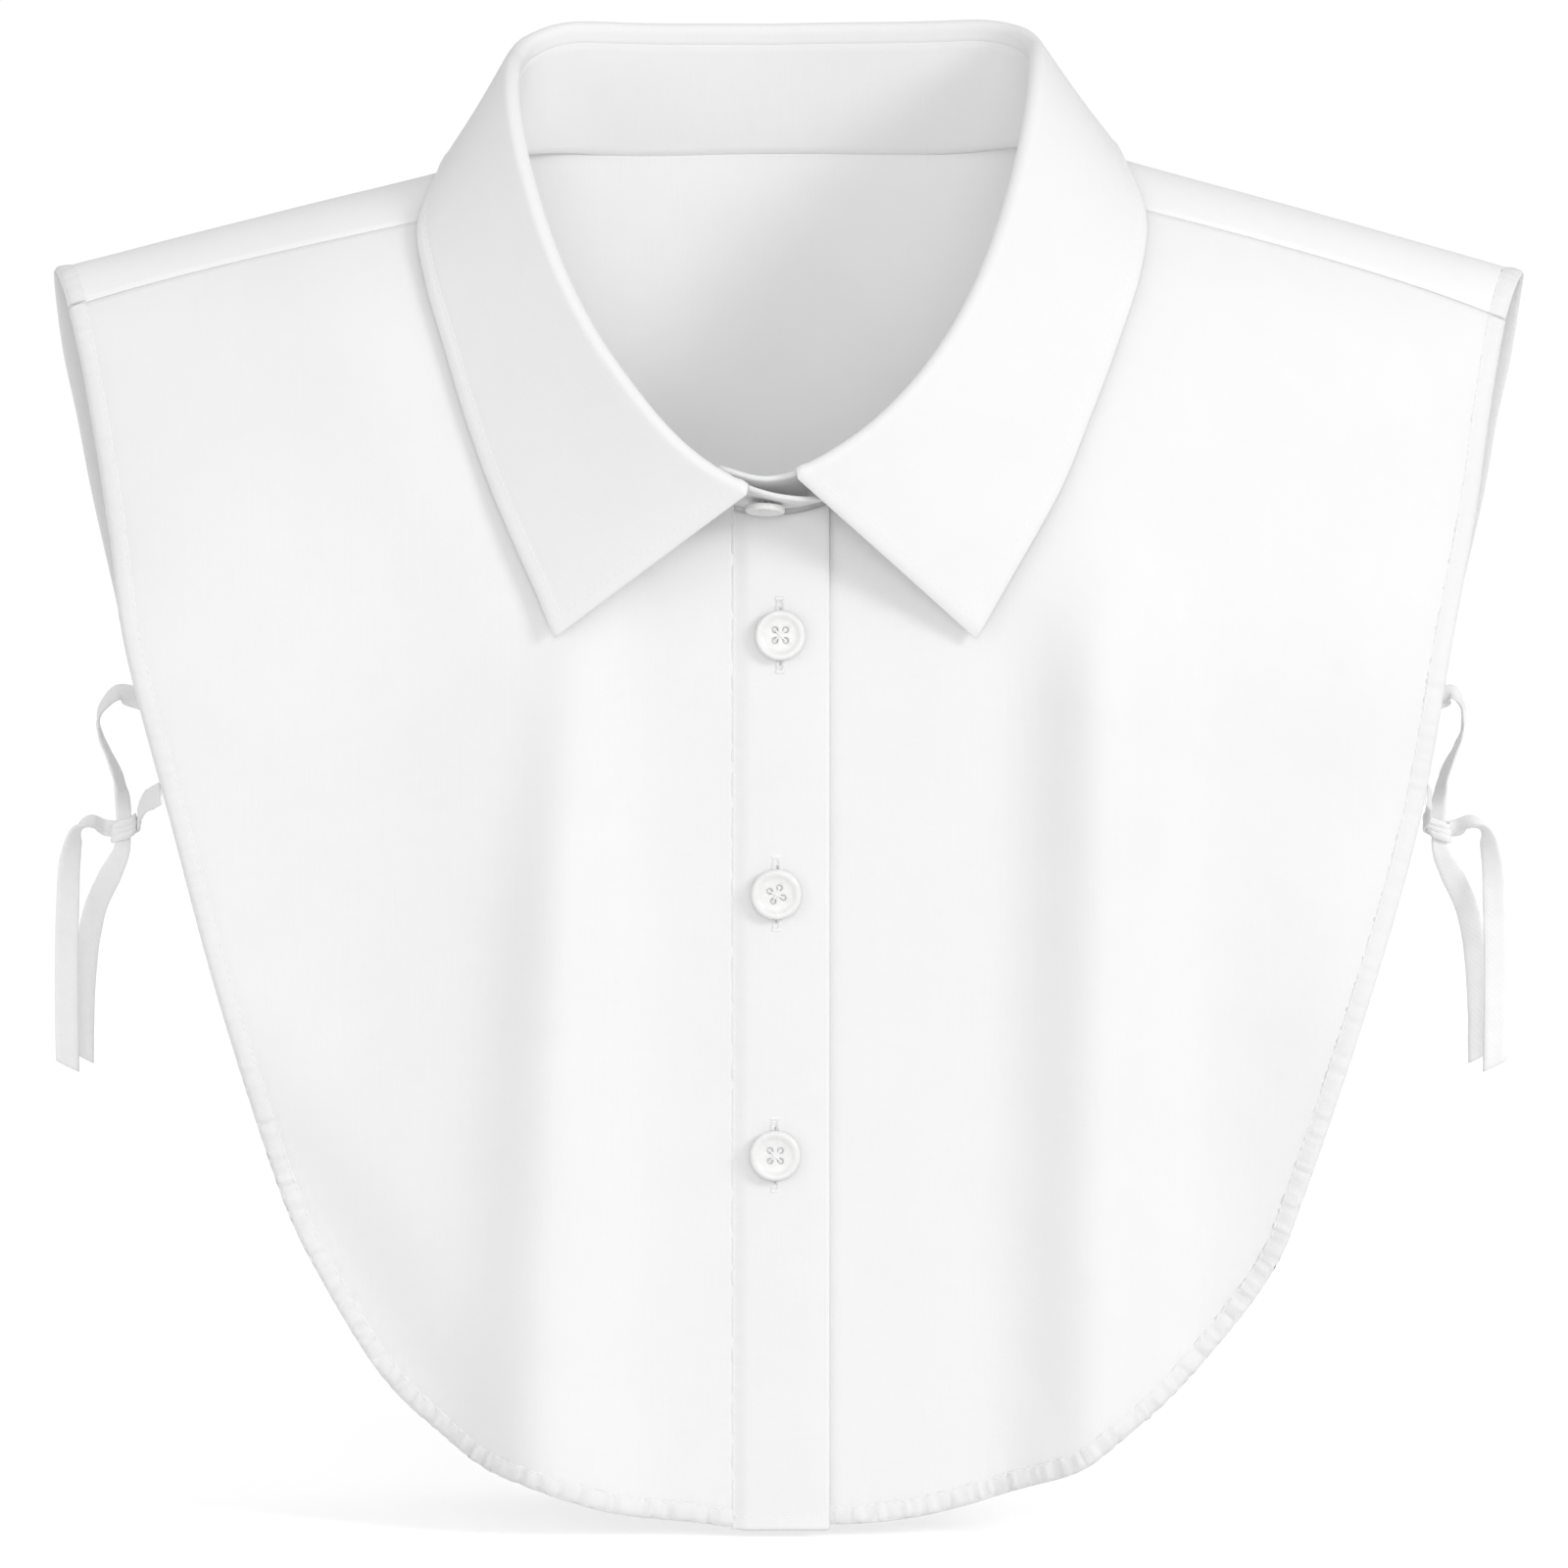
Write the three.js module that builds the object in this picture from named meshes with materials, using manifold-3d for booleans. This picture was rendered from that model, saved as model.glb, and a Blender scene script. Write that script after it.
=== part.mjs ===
// A white detachable shirt front, worn as a false collar: two front panels that button down the
// centre, a back panel that comes forward over the shoulders, a stand with a turned-down collar
// leaf, four buttons, and a pair of knotted tapes at each side.
// Millimetres. +X is the wearer's left, which a viewer in front sees on the right. -Y is the
// front and +Z is up. The origin is the middle of the neck opening, level with the points
// where the ridges of the shoulders meet the neck.

import * as THREE from "three";
import { mergeVertices } from "three/addons/utils/BufferGeometryUtils.js";
import Module from "manifold-3d";

const wasm = await Module();
wasm.setup();

const { clamp, degToRad, lerp, smoothstep } = THREE.MathUtils;

// Driving dimensions

const cloth = { thick: 1.2, gap: 0.35, seamGap: 0.68 };

// The ridge of the shoulders, seen from the front: slope far out, rounded off near the neck
const shoulders = {
  slope: 0.275,
  neckX: 66,
  rounding: 60,
  halfSpan: 200,
  rightLift: 3.2,
  liftStartX: 45,
  liftFullX: 88,
  neckRise: 2,
  neckRiseX: 60,
  neckRiseWidth: 18,
};

// How far the cloth stands out from the ridge, and how far it drops while it turns downwards
const chest = {
  midDepth: 72,
  edgeDepth: 14,
  neckDepth: 0,
  midFall: 150,
  edgeFall: 30,
  neckFall: 0,
};
const shoulderBlades = {
  midDepth: 21,
  edgeDepth: 14,
  neckDepth: 8,
  midFall: 1,
  edgeFall: 30,
  neckFall: 9,
};
const depthPower = 0.8;
const napeHalfWidth = 50;

// The folds below the collar's points, the sides, which hang forward, and the edges, which turn
// back or forward: height stands proud of the chest, and each grows from its topZ to its fullZ
const frontFolds = [
  { topX: -47, hemX: -61, topWidth: 8, hemWidth: 17, height: 9.5, topZ: -78, fullZ: -200 },
  { topX: -68, hemX: -74, topWidth: 20, hemWidth: 28, height: 3, topZ: -88, fullZ: -160 },
  { topX: 83, hemX: 80, topWidth: 14, hemWidth: 17, height: 12.5, topZ: -80, fullZ: -135 },
  { topX: -200, hemX: -200, topWidth: 80, hemWidth: 80, height: 30, topZ: -50, fullZ: -140 },
  { topX: 200, hemX: 200, topWidth: 80, hemWidth: 80, height: 34, topZ: -50, fullZ: -140 },
  { topX: -315, hemX: -80, topWidth: 20, hemWidth: 20, height: -5, topZ: -200, fullZ: -260 },
  { topX: 150, hemX: 150, topWidth: 30, hemWidth: 30, height: 8, topZ: -150, fullZ: -220 },
];
const foldTopZ = -105;

// The neckline, set a little to the viewer's left; run is measured over the cloth from the ridge
const neckline = { centreX: -2, halfWidth: 69, frontRun: 129, backRun: 28 };

// Where the back panel, brought forward, is sewn to the fronts
const shoulderSeam = {
  neckTurn: 107,
  left: { x: -181.5, run: 24 },
  right: { x: 184.5, run: 26.5 },
};

// Half-widths of the panels at each height, as a viewer in front sees left and right
const frontOutline = [
  { z: -64.8, left: 175.4, right: 180 },
  { z: -90.6, left: 171, right: 176 },
  { z: -119.6, left: 166.7, right: 170.2 },
  { z: -164.1, left: 155, right: 162 },
  { z: -209, left: 143, right: 149.2 },
  { z: -257.5, left: 127.8, right: 133.2 },
  { z: -279.8, left: 117.6, right: 123.8 },
  { z: -304.8, left: 102.2, right: 104.3 },
  { z: -319.6, left: 87, right: 87.5 },
  { z: -329.7, left: 71.8, right: 72.2 },
  { z: -338.5, left: 46.2, right: 44.5 },
  { z: -342.5, left: 18, right: 18 },
];
const frontHemZ = -343;
const backTip = { left: 185.2, right: 189.2 };
const backOutline = [
  { z: -42, left: 184.6, right: 188 },
  { z: -68, left: 179.8, right: 183 },
  { z: -98, left: 173.8, right: 177.3 },
  { z: -167, left: 157.3, right: 160 },
  { z: -211, left: 142, right: 146.5 },
  { z: -259, left: 123, right: 127 },
  { z: -285, left: 109, right: 112 },
  { z: -306, left: 92, right: 93.5 },
  { z: -320, left: 73, right: 73.5 },
  { z: -331, left: 44, right: 44 },
];
const backHemZ = -335.5;

// Each panel is a net over the cloth; the corner of the neckline and the seam falls on a column
const net = { columns: 17, rows: 18, frontNeckColumns: 8, backNeckColumns: 11, sideShare: 0.6 };

// The closing: the under front runs on beneath the placket, and the over front stops beside it
const placket = { leftX: -12.2, rightX: 12, lift: 0.8, hemZ: -343.8, neckDrop: 2.6 };
const overFront = { edgeX: -12.5 };
const underFront = { edgeX: -11.8, lift: -0.8, easeFromX: 14, easeToX: 45 };

// The stand: how tall it is, and how far it leans out from upright, at each turn from the nape.
// The end from the viewer's left closes over the other one
const stand = { seat: 1.3, endTurn: 190, roundTurn: 8, overlapOffset: 1, overlapFromTurn: 150 };
const standSections = [
  { turn: 0, height: 25.2, leftLean: -6, rightLean: -6 },
  { turn: 45, height: 26, leftLean: -7, rightLean: -7 },
  { turn: 70, height: 22.8, leftLean: -10, rightLean: -9 },
  { turn: 90, height: 19.6, leftLean: -11, rightLean: -9 },
  { turn: 110, height: 19, leftLean: -1, rightLean: -1 },
  { turn: 130, height: 19, leftLean: 13, rightLean: 13 },
  { turn: 150, height: 19, leftLean: 36, rightLean: 36 },
  { turn: 165, height: 18.5, leftLean: 58, rightLean: 55 },
  { turn: 180, height: 18, leftLean: 75, rightLean: 68 },
  { turn: 190, height: 18, leftLean: 83, rightLean: 65 },
];

// The collar leaf: turned over at the roll line, then falling to its outer edge
const leaf = {
  leftEndTurn: 175.6,
  rightEndTurn: 175.7,
  seat: 0.7,
  rise: 2.8,
  rollRadius: 1.9,
  bulge: -0.4,
  sideX: 86,
  backRun: 52,
  edgeLift: 2.3,
  backLift: 3.4,
  tipLift: 4,
};
// The outer edge from the side, where share is 0, to the point, where it is 1
const leafFrontEdge = [
  { share: 0, left: 86, right: 86, z: -3.4 },
  { share: 0.17, left: 92, right: 92.2, z: -16 },
  { share: 0.34, left: 90.3, right: 91.3, z: -28.7 },
  { share: 0.51, left: 85.3, right: 86, z: -45 },
  { share: 0.68, left: 79.2, right: 78.4, z: -64.2 },
  { share: 0.84, left: 71.3, right: 69.2, z: -84.5 },
  { share: 1, left: 56.8, right: 49.4, z: -116.4 },
];

const button = {
  radius: 6.4,
  thick: 2.6,
  dishRadius: 4.3,
  dishDepth: 0.5,
  rimRound: 0.7,
  holeRadius: 0.75,
  holeOffset: 1.5,
  shankRadius: 0.7,
  sides: 20,
};
const buttonPlaces = [
  { name: "button_1", x: -0.2, z: -115.4, spin: 0 },
  { name: "button_2", x: -1.2, z: -181.2, spin: 20 },
  { name: "button_3", x: -1.5, z: -248, spin: 0 },
];
const collarButton = { scale: 0.8, turn: -178.5, height: 9.5, seatGap: 0.8, slotDepth: 2.8 };
const buttonhole = { length: 14, width: 2.4, depth: 8 };

// The tapes at the viewer's left, from the hem to the free end. swing and tilt turn the width of
// the tape: swing from +X towards +Y, tilt up from level
const tapeThick = 1;
const backTape = [
  { x: -165.9, y: 17.3, z: -140.2, swing: 70, tilt: 62, width: 6 },
  { x: -169.6, y: 16.9, z: -139.4, swing: 80, tilt: 36, width: 6 },
  { x: -173, y: 15.2, z: -142.2, swing: 90, tilt: 20, width: 6 },
  { x: -174.5, y: 12.5, z: -146.3, swing: 90, tilt: 5, width: 6 },
  { x: -173.2, y: 9.2, z: -151.2, swing: 82, tilt: 0, width: 6 },
  { x: -170.6, y: 5.6, z: -156.5, swing: 72, tilt: 0, width: 6 },
  { x: -168.8, y: 2.4, z: -161.8, swing: 62, tilt: 0, width: 5.6 },
  { x: -168.1, y: -0.2, z: -167, swing: 28, tilt: 0, width: 4 },
  { x: -168, y: -0.8, z: -172.5, swing: 0, tilt: 0, width: 3 },
  { x: -168.6, y: -0.8, z: -178, swing: 0, tilt: 0, width: 4 },
  { x: -171.6, y: -0.2, z: -184.5, swing: 5, tilt: 0, width: 6 },
  { x: -175, y: 1, z: -192, swing: 10, tilt: 0, width: 6 },
  { x: -177, y: 2, z: -201, swing: 15, tilt: 0, width: 6 },
  { x: -178.3, y: 2.5, z: -216, swing: 20, tilt: 0, width: 6 },
  { x: -178.6, y: 2.5, z: -231.5, swing: 20, tilt: 0, width: 6 },
];
const frontTape = [
  { x: -158.6, y: -63.3, z: -157.4, swing: 0, tilt: 90, width: 6 },
  { x: -160.2, y: -47, z: -159.6, swing: 0, tilt: 90, width: 6 },
  { x: -162.2, y: -27, z: -162.8, swing: 0, tilt: 90, width: 5.6 },
  { x: -163.8, y: -9, z: -167.4, swing: 0, tilt: 90, width: 4.6 },
  { x: -164.8, y: 1, z: -171.6, swing: 0, tilt: 90, width: 3.8 },
  { x: -168.4, y: 2.4, z: -172.4, swing: 0, tilt: 90, width: 3.6 },
  { x: -172.3, y: 1.8, z: -172.4, swing: 90, tilt: 72, width: 4.4 },
  { x: -176, y: -1, z: -170.8, swing: 85, tilt: 30, width: 5.4 },
  { x: -179.7, y: -4, z: -173, swing: 55, tilt: 10, width: 6 },
  { x: -181.5, y: -6, z: -179, swing: 30, tilt: 5, width: 6 },
  { x: -182.2, y: -7, z: -190, swing: 8, tilt: 0, width: 6 },
  { x: -182.6, y: -8, z: -210, swing: 0, tilt: 0, width: 6 },
  { x: -182.3, y: -8.5, z: -232.5, swing: 0, tilt: 0, width: 6 },
];
// The right pair mirrors these, but its sewn ends start from hems that lie further out
const rightSewnEnd = { back: { x: 3.4, y: -0.8 }, front: { x: 6.5, y: -2.2 }, fadeRows: 4 };
const tapeStepsPerRow = 3;
// The turn of tape that draws the knot together, upright about both tapes
const knotBand = {
  x: -168,
  y: 0.35,
  z: -172.4,
  halfWidth: 2.8,
  halfDepth: 2.8,
  height: 4.6,
  thick: 0.8,
  squareness: 0.5,
  sides: 14,
};

const white = { color: 0xf7f8f8, roughness: 0.85, metalness: 0 };
const buttonWhite = { color: 0xf6f6f4, roughness: 0.35, metalness: 0 };

// The surface that the cloth lies on

function ridgeZ(x) {
  const { slope, neckX, rounding, halfSpan, rightLift, liftStartX, liftFullX } = shoulders;
  const outward = Math.hypot(x, rounding) - Math.hypot(neckX, rounding);
  const fade = clamp((halfSpan - x) / (halfSpan - liftFullX), 0, 1);
  const lift = rightLift * smoothstep(x, liftStartX, liftFullX) * fade;
  const fromNeck = (Math.abs(x) - shoulders.neckRiseX) / shoulders.neckRiseWidth;
  return lift + shoulders.neckRise * Math.exp(-fromNeck * fromNeck) - slope * outward;
}

function sideAt(x, isFront) {
  const half = isFront ? chest : shoulderBlades;
  const across = clamp(1 - (x / shoulders.halfSpan) ** 2, 0, 1);
  const atNape = Math.exp(-((x / napeHalfWidth) ** 2));
  const depth = lerp(half.edgeDepth, half.midDepth, across ** depthPower) + half.neckDepth * atNape;
  const fall = lerp(half.edgeFall, half.midFall, across) + half.neckFall * atNape;
  return { depth, fall, turnRun: (Math.PI / 4) * (depth + fall) };
}

function foldAt(x, z) {
  const spread = Math.sqrt(clamp((foldTopZ - z) / (foldTopZ - frontHemZ), 0, 1));
  let proud = 0;
  for (const fold of frontFolds) {
    const halfWidth = lerp(fold.topWidth, fold.hemWidth, spread);
    const away = (x - lerp(fold.topX, fold.hemX, spread)) / halfWidth;
    const grown = smoothstep(-z, -fold.topZ, -fold.fullZ);
    proud += fold.height * grown * Math.exp(-away * away);
  }
  return proud;
}

// run goes over the cloth from the ridge, above zero to the front and below zero to the back
function onBody(x, run) {
  const isFront = run > 0;
  const { depth, fall, turnRun } = sideAt(x, isFront);
  const angle = (Math.min(Math.abs(run) / turnRun, 1) * Math.PI) / 2;
  const hanging = Math.max(Math.abs(run) - turnRun, 0);
  const z = ridgeZ(x) - fall * (1 - Math.cos(angle)) - hanging;
  const y = depth * Math.sin(angle);
  return new THREE.Vector3(x, isFront ? -y - foldAt(x, z) : y, z);
}

function runAt(x, z, isFront) {
  const { fall, turnRun } = sideAt(x, isFront);
  const drop = ridgeZ(x) - z;
  const turned = Math.acos(clamp(1 - drop / fall, 0, 1)) / (Math.PI / 2);
  const run = drop < fall ? turned * turnRun : turnRun + drop - fall;
  return isFront ? run : -run;
}

function bodyNormal(x, run) {
  const step = 0.5;
  const across = onBody(x + step, run).sub(onBody(x - step, run));
  const along = onBody(x, run + step).sub(onBody(x, run - step));
  return along.cross(across).normalize();
}

function lifted(x, run, lift) {
  return onBody(x, run).addScaledVector(bodyNormal(x, run), lift);
}

// Turn 0 is the nape, 180 the throat; below zero is the viewer's left
function necklineAt(turn) {
  const run = Math.abs(turn) > 90 ? neckline.frontRun : neckline.backRun;
  const angle = degToRad(turn);
  const x = neckline.centreX + neckline.halfWidth * Math.sin(angle);
  return new THREE.Vector2(x, -run * Math.cos(angle));
}

// Solids

// A wall of even thickness about the middle surface that place(u, v) gives
function wall(columns, rows, place, thick = cloth.thick) {
  const middle = [];
  for (let row = 0; row <= rows; row++) {
    for (let column = 0; column <= columns; column++) {
      middle.push(place(column / columns, row / rows));
    }
  }
  const at = (column, row) => row * (columns + 1) + column;
  const count = middle.length;
  const vertices = new Float32Array(count * 6);
  for (let row = 0; row <= rows; row++) {
    for (let column = 0; column <= columns; column++) {
      const across = middle[at(Math.min(column + 1, columns), row)]
        .clone()
        .sub(middle[at(Math.max(column - 1, 0), row)]);
      const along = middle[at(column, Math.min(row + 1, rows))]
        .clone()
        .sub(middle[at(column, Math.max(row - 1, 0))]);
      const half = across.cross(along).normalize().multiplyScalar(thick / 2);
      const index = at(column, row);
      middle[index].clone().add(half).toArray(vertices, index * 3);
      middle[index].clone().sub(half).toArray(vertices, (count + index) * 3);
    }
  }
  const faces = [];
  for (let row = 0; row < rows; row++) {
    for (let column = 0; column < columns; column++) {
      const [a, b] = [at(column, row), at(column + 1, row)];
      const [d, c] = [at(column, row + 1), at(column + 1, row + 1)];
      const shortAC = middle[a].distanceTo(middle[c]) < middle[b].distanceTo(middle[d]);
      const halves = shortAC ? [[a, b, c], [a, c, d]] : [[a, b, d], [b, c, d]];
      for (const [p, q, r] of halves) {
        faces.push(p, q, r, count + p, count + r, count + q);
      }
    }
  }
  const rim = [];
  for (let column = 0; column < columns; column++) rim.push(at(column, 0));
  for (let row = 0; row < rows; row++) rim.push(at(columns, row));
  for (let column = columns; column > 0; column--) rim.push(at(column, rows));
  for (let row = rows; row > 0; row--) rim.push(at(0, row));
  rim.forEach((p, index) => {
    const q = rim[(index + 1) % rim.length];
    faces.push(p, count + p, count + q, p, count + q, q);
  });
  return meshGeometry(vertices, faces);
}

function meshGeometry(vertices, faces) {
  const geometry = new THREE.BufferGeometry();
  geometry.setAttribute("position", new THREE.BufferAttribute(vertices, 3));
  geometry.setIndex(new THREE.BufferAttribute(Uint32Array.from(faces), 1));
  geometry.computeVertexNormals();
  return geometry;
}

function toSolid(geometry) {
  const bare = geometry.clone();
  bare.deleteAttribute("normal");
  bare.deleteAttribute("uv");
  const merged = mergeVertices(bare, 1e-4);
  return new wasm.Manifold(
    new wasm.Mesh({
      numProp: 3,
      vertProperties: merged.attributes.position.array,
      triVerts: new Uint32Array(merged.index.array),
    }),
  );
}

function toGeometry(solid) {
  const mesh = solid.getMesh();
  return meshGeometry(new Float32Array(mesh.vertProperties), mesh.triVerts);
}

function piece(name, geometry, look) {
  const mesh = new THREE.Mesh(geometry, new THREE.MeshStandardMaterial(look));
  mesh.name = name;
  return mesh;
}

// Panels, each drawn flat as x and run between four edges, then laid on the body

function patch(top, bottom, left, right) {
  const [a, b] = [top(0), top(1)];
  const [d, c] = [bottom(0), bottom(1)];
  return (u, v) => {
    const blend = new THREE.Vector2()
      .addScaledVector(top(u), 1 - v)
      .addScaledVector(bottom(u), v)
      .addScaledVector(left(v), 1 - u)
      .addScaledVector(right(v), u);
    return blend
      .addScaledVector(a, -(1 - u) * (1 - v))
      .addScaledVector(b, -u * (1 - v))
      .addScaledVector(c, -u * v)
      .addScaledVector(d, -(1 - u) * v);
  };
}

const along = (curve, from, to) => (t) => curve.getPointAt(lerp(from, to, t));
const straight = (from, to) => (t) => from.clone().lerp(to, t);

// The neckline up to the shoulder seam, then the seam out to its end; below is how far under
// the seam the edge keeps
function necklineAndSeam(startTurn, column, neckColumns, below) {
  const neckShare = neckColumns / net.columns;
  const { neckTurn, [column]: end } = shoulderSeam;
  const side = sideOf(column);
  const neckEnd = necklineAt(side * neckTurn).add(new THREE.Vector2(0, below));
  const runPerDegree = degToRad(neckline.frontRun * Math.sin(degToRad(neckTurn)));
  const lastTurn = side * (neckTurn + below / runPerDegree);
  const seamEnd = new THREE.Vector2(end.x, end.run + below);
  return (t) => {
    if (t < neckShare) return necklineAt(lerp(startTurn, lastTurn, t / neckShare));
    return neckEnd.clone().lerp(seamEnd, (t - neckShare) / (1 - neckShare));
  };
}

const sideOf = (column) => (column === "left" ? -1 : 1);

// The turn of the front neckline at x, counted the way of the given side
function turnAtX(x, side) {
  const fromCentre = (x - neckline.centreX) / neckline.halfWidth;
  const pastCentre = THREE.MathUtils.radToDeg(Math.asin(fromCentre));
  return side * 180 - pastCentre;
}

function outlineCurve(rows, column, isFront, ends) {
  const side = sideOf(column);
  const points = rows.map(({ z, [column]: reach }) => {
    return new THREE.Vector2(side * reach, runAt(side * reach, z, isFront));
  });
  return new THREE.SplineCurve([ends.start, ...points, ends.finish]);
}

function frontPanel(column, centreX, liftAt) {
  const end = shoulderSeam[column];
  const below = cloth.seamGap;
  const top = necklineAndSeam(turnAtX(centreX, sideOf(column)), column, net.frontNeckColumns, below);
  const hem = new THREE.Vector2(centreX, runAt(centreX, frontHemZ, true));
  const outline = outlineCurve(frontOutline, column, true, {
    start: new THREE.Vector2(end.x, end.run + below),
    finish: hem,
  });
  const place = patch(
    top,
    along(outline, 1, net.sideShare),
    straight(top(0), hem),
    along(outline, 0, net.sideShare),
  );
  return wall(net.columns, net.rows, (u, v) => {
    const { x, y: run } = place(u, v);
    return lifted(x, run, liftAt(x));
  });
}

function makeOverFront() {
  return frontPanel("left", overFront.edgeX, () => 0);
}

function makeUnderFront() {
  const { edgeX, lift, easeFromX, easeToX } = underFront;
  return frontPanel("right", edgeX, (x) => lift * (1 - smoothstep(x, easeFromX, easeToX)));
}

function makeBackPanel() {
  const hem = new THREE.Vector2(0, runAt(0, backHemZ, false));
  const outline = (column) => {
    const { x, run } = shoulderSeam[column];
    const tip = { z: ridgeZ(backTip[column]), [column]: backTip[column] };
    const ends = { start: new THREE.Vector2(x, run), finish: hem };
    return outlineCurve([tip, ...backOutline], column, false, ends);
  };
  const left = outline("left");
  const right = outline("right");
  const leftTop = necklineAndSeam(0, "left", net.backNeckColumns, 0);
  const rightTop = necklineAndSeam(0, "right", net.backNeckColumns, 0);
  const place = patch(
    (t) => (t < 0.5 ? leftTop(1 - 2 * t) : rightTop(2 * t - 1)),
    (t) => (t < 0.5 ? left : right).getPointAt(lerp(1, net.sideShare, Math.abs(2 * t - 1))),
    along(left, 0, net.sideShare),
    along(right, 0, net.sideShare),
  );
  return wall(2 * net.columns, net.rows, (u, v) => {
    const { x, y: run } = place(u, v);
    return lifted(x, run, 0);
  });
}

function makePlacket() {
  const { leftX, rightX, lift, hemZ, neckDrop } = placket;
  const strip = wall(4, 20, (u, v) => {
    const x = lerp(leftX, rightX, u);
    const topRun = necklineAt(turnAtX(x, 1)).y + neckDrop;
    return lifted(x, lerp(topRun, runAt(x, hemZ, true), v), lift);
  });
  let solid = toSolid(strip);
  for (const place of buttonPlaces) {
    const slot = new THREE.BoxGeometry(buttonhole.width, buttonhole.length, buttonhole.depth);
    solid = solid.subtract(toSolid(slot.applyMatrix4(onPlacket(place, 0))));
  }
  return toGeometry(solid);
}

// The collar

function standOffset(turn) {
  const side = turn < 0 ? 1 : -1;
  const { overlapOffset, overlapFromTurn } = stand;
  return side * overlapOffset * smoothstep(Math.abs(turn), overlapFromTurn, 170);
}

function standHeight(turn) {
  return readRows(standSections, "turn", "height", Math.abs(turn));
}

function standLean(turn) {
  const column = turn < 0 ? "leftLean" : "rightLean";
  return readRows(standSections, "turn", column, Math.abs(turn));
}

// The root of the stand on the neckline, with its own up, out and side directions
function standFrame(turn) {
  const rootAt = (someTurn) => {
    const { x, y: run } = necklineAt(someTurn);
    return onBody(x, run);
  };
  const forward = rootAt(turn + 1).sub(rootAt(turn - 1)).normalize();
  const level = new THREE.Vector3(-forward.y, forward.x, 0).normalize();
  const lean = degToRad(standLean(turn));
  const up = new THREE.Vector3(0, 0, Math.cos(lean)).addScaledVector(level, Math.sin(lean));
  const out = up.clone().cross(forward).normalize();
  const side = out.clone().cross(up);
  return { root: rootAt(turn), up, out, side };
}

function inStand(turn, height, outward) {
  const { root, up, out } = standFrame(turn);
  return root
    .addScaledVector(up, stand.seat + height)
    .addScaledVector(out, standOffset(turn) + outward);
}

function makeStand() {
  const { endTurn, roundTurn } = stand;
  const band = wall(48, 3, (u, v) => {
    const turn = lerp(-endTurn, endTurn, u);
    const pastRound = clamp((Math.abs(turn) - endTurn + roundTurn) / roundTurn, 0, 0.93);
    const shrink = turn < 0 ? Math.sqrt(1 - pastRound * pastRound) : 1;
    return inStand(turn, standHeight(turn) * (0.5 + (v - 0.5) * shrink), 0);
  });
  const slot = new THREE.BoxGeometry(buttonhole.length, buttonhole.width, collarButton.slotDepth);
  const cut = slot.applyMatrix4(onTab(0));
  return toGeometry(toSolid(band).subtract(toSolid(cut)));
}

function readRows(rows, key, column, value) {
  const next = rows.findIndex((row) => row[key] >= value);
  const last = clamp(next < 0 ? rows.length - 1 : next, 1, rows.length - 1);
  const [from, to] = [rows[last - 1], rows[last]];
  const before = rows[Math.max(last - 2, 0)];
  const after = rows[Math.min(last + 1, rows.length - 1)];
  const span = to[key] - from[key];
  const t = clamp((value - from[key]) / span, 0, 1);
  const slopeFrom = (to[column] - before[column]) / (to[key] - before[key]);
  const slopeTo = (after[column] - from[column]) / (after[key] - from[key]);
  const rise = to[column] - from[column];
  const a = slopeFrom * span - rise;
  const b = rise - slopeTo * span;
  return lerp(from[column], to[column], t) + t * (1 - t) * (a * (1 - t) + b * t);
}

// The outer edge of the leaf for each turn of the stand
function leafEdge(turn) {
  const side = Math.sign(turn);
  const away = Math.abs(turn);
  if (away <= 90) {
    const angle = degToRad(turn);
    const lift = lerp(leaf.edgeLift, leaf.backLift, Math.cos(angle));
    return lifted(leaf.sideX * Math.sin(angle), -leaf.backRun * Math.cos(angle), lift);
  }
  const end = side < 0 ? leaf.leftEndTurn : leaf.rightEndTurn;
  const share = clamp((away - 90) / (end - 90), 0, 1);
  const x = readRows(leafFrontEdge, "share", side < 0 ? "left" : "right", share);
  const run = runAt(-x, readRows(leafFrontEdge, "share", "z", share), true);
  const lift = lerp(leaf.edgeLift, leaf.tipLift, smoothstep(share, 0.7, 1));
  return lifted(side * x, run, lift);
}

// Where the leaf passes: up from the stand, round the roll line, and down to the edge
function leafAt(turn, stage, t) {
  const { up, out, side } = standFrame(turn);
  const base = inStand(turn, standHeight(turn) + leaf.seat, 0);
  const reach = leafEdge(turn).sub(base);
  const [edgeOut, edgeUp, edgeSide] = [reach.dot(out), reach.dot(up), reach.dot(side)];
  const { rise, rollRadius, bulge } = leaf;
  const toEdge = Math.hypot(edgeOut - rollRadius, edgeUp - rise);
  const leave =
    Math.atan2(edgeUp - rise, edgeOut - rollRadius) + Math.acos(rollRadius / toEdge);
  let [outward, upward, sideways] = [0, rise * t, 0];
  if (stage === "roll") {
    const angle = lerp(Math.PI, leave, t);
    outward = rollRadius * (1 + Math.cos(angle));
    upward = rise + rollRadius * Math.sin(angle);
  }
  if (stage === "fall") {
    const startOut = rollRadius * (1 + Math.cos(leave));
    const startUp = rise + rollRadius * Math.sin(leave);
    const proud = bulge * Math.sin(Math.PI * t);
    outward = lerp(startOut, edgeOut, t) + proud * Math.cos(leave);
    upward = lerp(startUp, edgeUp, t) + proud * Math.sin(leave);
    sideways = edgeSide * t;
  }
  return base
    .addScaledVector(out, outward)
    .addScaledVector(up, upward)
    .addScaledVector(side, sideways);
}

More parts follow.
